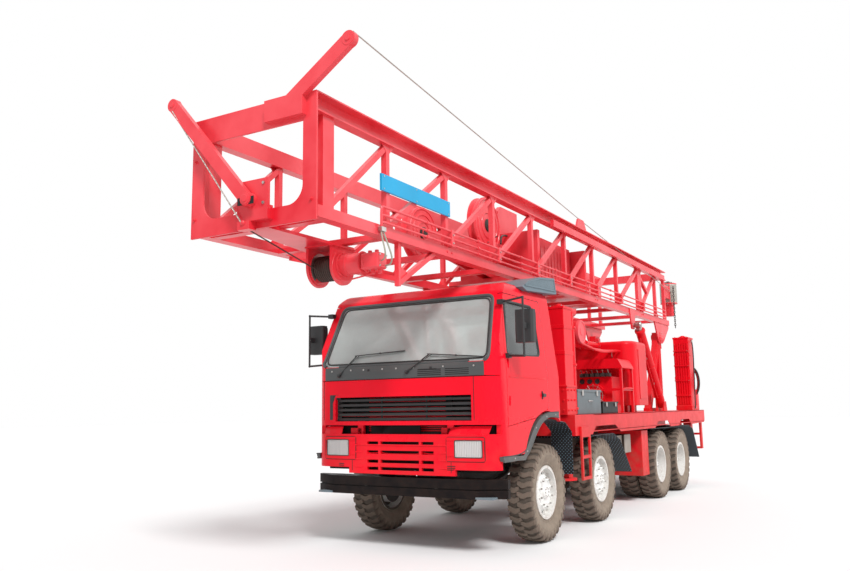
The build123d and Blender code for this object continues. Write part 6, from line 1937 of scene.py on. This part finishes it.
@dataclass
class RearWinchTrim:
    """Wound rope, bolts, guard rods and chain of the winch at the mast's foot."""

    x: float = -8.450
    y: float = 0.650
    span: tuple[float, float] = (3.690, 4.140)
    core_radius: float = 0.168
    turns: int = 16
    pitch: float = 0.0235
    links: int = 20
    link_pitch: float = 0.044
    chain_head: tuple[float, float, float] = (-8.25, 0.805, 4.02)

    def build(self) -> None:
        """Make the pieces."""
        shape = Shape()
        low, high = self.span
        for z in (low + 0.015, high - 0.015):
            shape.clip(at(self.x, self.y, z), UP, 0.182, 0.024, Finish.MAST_RED)
        profile = [(self.core_radius, low + 0.03)]
        for i in range(self.turns):
            base = low + 0.045 + self.pitch * i
            profile += [(0.171, base - 0.010), (0.179, base), (0.171, base + 0.010)]
        profile.append((self.core_radius, high - 0.03))
        shape.lathe(profile, at(self.x, self.y, 0), UP, Finish.ROPE, 36)
        shape.lathe([(0.0, 0.05), (0.03, 0.05), (0.04, 0.035), (0.09, 0.03), (0.10, 0.0)],
                    at(self.x, self.y, high), UP, Finish.CAST, 28)
        shape.bolts(circle(at(self.x, self.y, high), "Z", 0.135, 10), UP, 0.012, 0.012, Finish.STEEL)
        shape.bolts(circle(at(self.x, self.y, low), "Z", 0.128, 8), -UP, 0.011, 0.012, Finish.STEEL)
        for z in (3.50, 3.60):
            shape.clip(at(self.x, self.y, z), UP, 0.112, 0.014, Finish.MAST_RED)
        for angle in (0.5, 1.3, 2.1):
            spot = at(self.x + 0.19 * math.cos(angle), self.y + 0.1425 * math.sin(angle), low)
            shape.rod(spot, spot + Vector((0, 0, high - low)), 0.009, Finish.MAST_RED, 10)
        shape.place("rear_winch_fittings", Body.MAST)
        self.chain()

    def chain(self) -> None:
        """Short hanging chain of welded links."""
        shape = Shape()
        x, y, head = self.chain_head
        for i in range(self.links):
            centre = at(x, y, head - self.link_pitch * i)
            link = circle(centre, "XY"[i % 2], 0.016, 10, tall=0.032)
            shape.pipe(link, 0.006, Finish.CAST, closed=True, steps=1)
        shape.place("hanging_chain", Body.MAST)


@dataclass
class HeadTrim:
    """Motors, bolts, ribs, hoses and sheave hubs of the top drive."""

    z: float = 3.700
    motor_y: float = 0.24
    motor_z: float = 3.86
    # x, z, radius of both large sheaves
    sheaves: Sequence[tuple[float, float, float]] = ((0.827, 3.635, 0.335), (-0.925, 4.080, 0.400))

    def build(self) -> None:
        """Make the pieces."""
        shape = Shape()
        red = Finish.MAST_RED
        z = self.motor_z
        for y in (-self.motor_y, self.motor_y):
            shape.rod(at(-2.0, y, z), at(-1.74, y, z), 0.085, Finish.CAST, 28, bevel=0.008)
            shape.clip(at(-1.99, y, z), AHEAD, 0.115, 0.03, red)
            shape.clip(at(-1.78, y, z), AHEAD, 0.092, 0.02, Finish.CAST)
            shape.bolts(circle(at(-1.975, y, z), "X", 0.1, 6), AHEAD, 0.010, 0.010, Finish.STEEL)
        shape.bolts(circle(at(-0.899, 0.0, self.z), "X", 0.155, 12), AHEAD, 0.012, 0.012, Finish.STEEL)
        for x, z, radius in self.sheaves:
            for sign in (1, -1):
                shape.lathe([(0.0, 0.034), (0.042, 0.034), (0.050, 0.022), (0.085, 0.016), (0.090, 0.0)],
                            at(x, sign * 0.06, z), LEFT * sign, Finish.CAST, 28)
                for share in (0.45, 0.72, 0.93):
                    ring = radius * share
                    shape.lathe([(ring - 0.012, 0.0), (ring - 0.006, 0.010), (ring + 0.006, 0.010),
                                 (ring + 0.012, 0.0)], at(x, sign * 0.06, z), LEFT * sign, red, 40)
        for i in range(8):
            shape.box(at(-3.10 + 0.13 * i, 0.400, 3.50), at(-3.05 + 0.13 * i, 0.408, 3.94), red, 0.002)
        for y in (-0.12, 0.0, 0.12):
            shape.pipe(line((-1.80, y, 3.95), (-1.60, y, 4.02), (-1.2, y + 0.05, 3.98), (-1.0, y + 0.1, 3.90),
                            (-0.96, y + 0.12, 3.80)), 0.014, Finish.HOSE, steps=8)
        for x in (-4.30, -3.60, -1.60, -1.15):
            for sign in (1, -1):
                shape.bolts([at(x, sign * a, 3.345) for a in (0.30, 0.50)], UP, 0.014, 0.012, Finish.STEEL)
        shape.clip(at(-3.24, 0, self.z), AHEAD, 0.125, 0.06, red)
        shape.clip(at(-4.50, 0, self.z), AHEAD, 0.105, 0.10, Finish.STEEL)
        shape.place("top_drive_parts", Body.TOP_DRIVE)


@dataclass
class Rigging:
    """Taut wire ropes of the jibs and the front winch."""

    radius: float = 0.007

    def build(self) -> None:
        """Lay the ropes over their sheaves."""
        shape = Shape()
        # both ends of each run
        runs = (
            ((2.775, 0.02, 2.905), (3.830, 0.0, 3.165)),
            ((3.850, -0.012, 3.195), (3.900, -0.900, 4.415)),
            ((3.795, 1.165, 4.720), (-2.760, 0.705, 4.478)),
            ((-2.760, 0.705, 4.478), (-8.300, 0.745, 3.930)),
        )
        for i, (a, b) in enumerate(runs):
            shape.rope(at(*a), at(*b), self.radius, Finish.WOUND if i == 0 else Finish.ROPE)
        shape.place("wire_ropes", Body.MAST)


@dataclass
class RaiseTrim:
    """Glands, bands and oil pipes on the raising cylinders."""

    y: float = 0.852
    foot: tuple[float, float] = (-6.590, 1.560)
    head: tuple[float, float] = (-5.320, 2.980)
    # way up the cylinder and, in tenths of a metre, out from its middle
    oil_pipe: Sequence[tuple[float, float]] = (
        (0.25, 0.75), (0.25, 1.1), (0.32, 1.15), (1.2, 1.15), (1.60, 1.15), (1.66, 1.1), (1.66, 0.75))

    def build(self) -> None:
        """Dress both barrels and both rod eyes."""
        foot = at(self.foot[0], 0, self.foot[1])
        head = at(self.head[0], 0, self.head[1])
        run = head - foot
        along = run.normalized()
        barrel, rods = Shape(), Shape()
        for sign in (1, -1):
            side = Vector((0, sign * self.y, 0))
            for reach, radius, width in ((run.length - 0.135, 0.094, 0.05), (0.30, 0.088, 0.03),
                                         (0.95, 0.087, 0.02)):
                barrel.clip(foot + side + along * reach, along, radius, width, Finish.DECK_RED)
            out = Vector((along.z, 0, -along.x)) * 0.10
            pipe = [foot + side + along * a + out * b for a, b in self.oil_pipe]
            barrel.pipe(pipe, 0.011, Finish.DECK_RED, steps=5)
            for a in (0.6, 1.2):
                barrel.bar(foot + side + along * a + out * 0.75, foot + side + along * a + out * 1.2, 0.03,
                           0.03, Finish.STEEL, along)
            for a in (-1, 1):
                rods.lathe([(0.0, 0.010), (0.048, 0.010), (0.054, 0.0)],
                           head + side + Vector((0, a * 0.041, 0)), Vector((0, a, 0)), Finish.STEEL, 24)
        barrel.place("barrel_fittings", Body.BARRELS)
        rods.place("rod_eye_caps", Body.RODS)


@dataclass
class TailGear:
    """Lamps, valve boxes, pipe loops and the blank plate at the rear end of the deck."""

    column: tuple[float, float] = (-8.190, 0.995)

    def build(self) -> None:
        """Make the rear lamps and what stands behind the rear columns."""
        self.lamps()
        self.valves()

    def valves(self) -> None:
        """Valve box and nested pipe loops behind each rear column."""
        shape = Shape()
        red = Finish.DECK_RED
        rear, y = self.column
        for sign in (1, -1):
            shape.box(at(rear - 0.235, sign * 0.90, 1.441), at(rear - 0.030, sign * 1.15, 1.860), red, 0.010)
            shape.box(at(rear - 0.242, sign * 0.93, 1.50), at(rear - 0.234, sign * 1.12, 1.80), red, 0.003)
            for i in range(4):
                spot = at(rear - 0.06 - 0.045 * i, sign * 1.02, 1.861)
                shape.rod(spot, spot + Vector((0, 0, 0.05)), 0.010, Finish.STEEL, 12)
                shape.lathe([(0.0, 0.030), (0.012, 0.026), (0.016, 0.012), (0.010, 0.0)],
                            spot + Vector((0, 0, 0.045)), UP, Finish.BLACK_TRIM, 14)
            shape.bar(at(rear, sign * y, 2.28), at(rear - 0.20, sign * y, 2.28), 0.05, 0.05, red)
            for i, (wide, tall) in enumerate(((0.135, 0.30), (0.110, 0.27), (0.085, 0.235))):
                centre = at(rear - 0.07 - 0.05 * i, sign * (y + 0.09), 2.02)
                shape.pipe(circle(centre, "X", wide, 12, tall=tall), 0.017, red if i % 2 else Finish.CAST,
                           closed=True, steps=3)
        shape.place("rear_valves", Body.CHASSIS)

    def lamps(self) -> None:
        """Lamp bars and the blank plate on the deck's rear face."""
        shape = Shape()
        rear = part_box("deck")[0].x
        for sign in (1, -1):
            y = sign * 0.60
            shape.box((rear - 0.030, y - 0.20, 1.255), (rear - 0.001, y + 0.20, 1.375), Finish.BLACK_TRIM,
                      0.010)
            for i, finish in enumerate((Finish.TAIL_RED, Finish.TAIL_AMBER, Finish.TAIL_RED)):
                a = y + sign * (-0.12 + 0.12 * i)
                shape.lathe([(0.0, 0.014), (0.030, 0.012), (0.044, 0.006), (0.046, 0.0)],
                            Vector((rear - 0.030, a, 1.315)), -AHEAD, finish, 24)
        shape.box((rear - 0.006, -0.26, 1.265), (rear - 0.001, 0.26, 1.375), Finish.PALE_PLATE, 0.002)
        shape.place("tail_lamps", Body.CHASSIS)


def main() -> None:
    """Build the stage and every sub-assembly, logging each by name."""
    logging.basicConfig(level=logging.INFO, format="%(message)s")
    Stage().build()
    for assembly in (PlainDress, Wheels, CabFace, CabSides, RoofGear, Interior, JackTrim, DeckGear,
                     MachineTrim, MastTrim, WinchTrim, RearWinchTrim, HeadTrim, Rigging, RaiseTrim, TailGear):
        log.info("building %s", assembly.__name__)
        assembly().build()


if __name__ == "__main__":
    main()
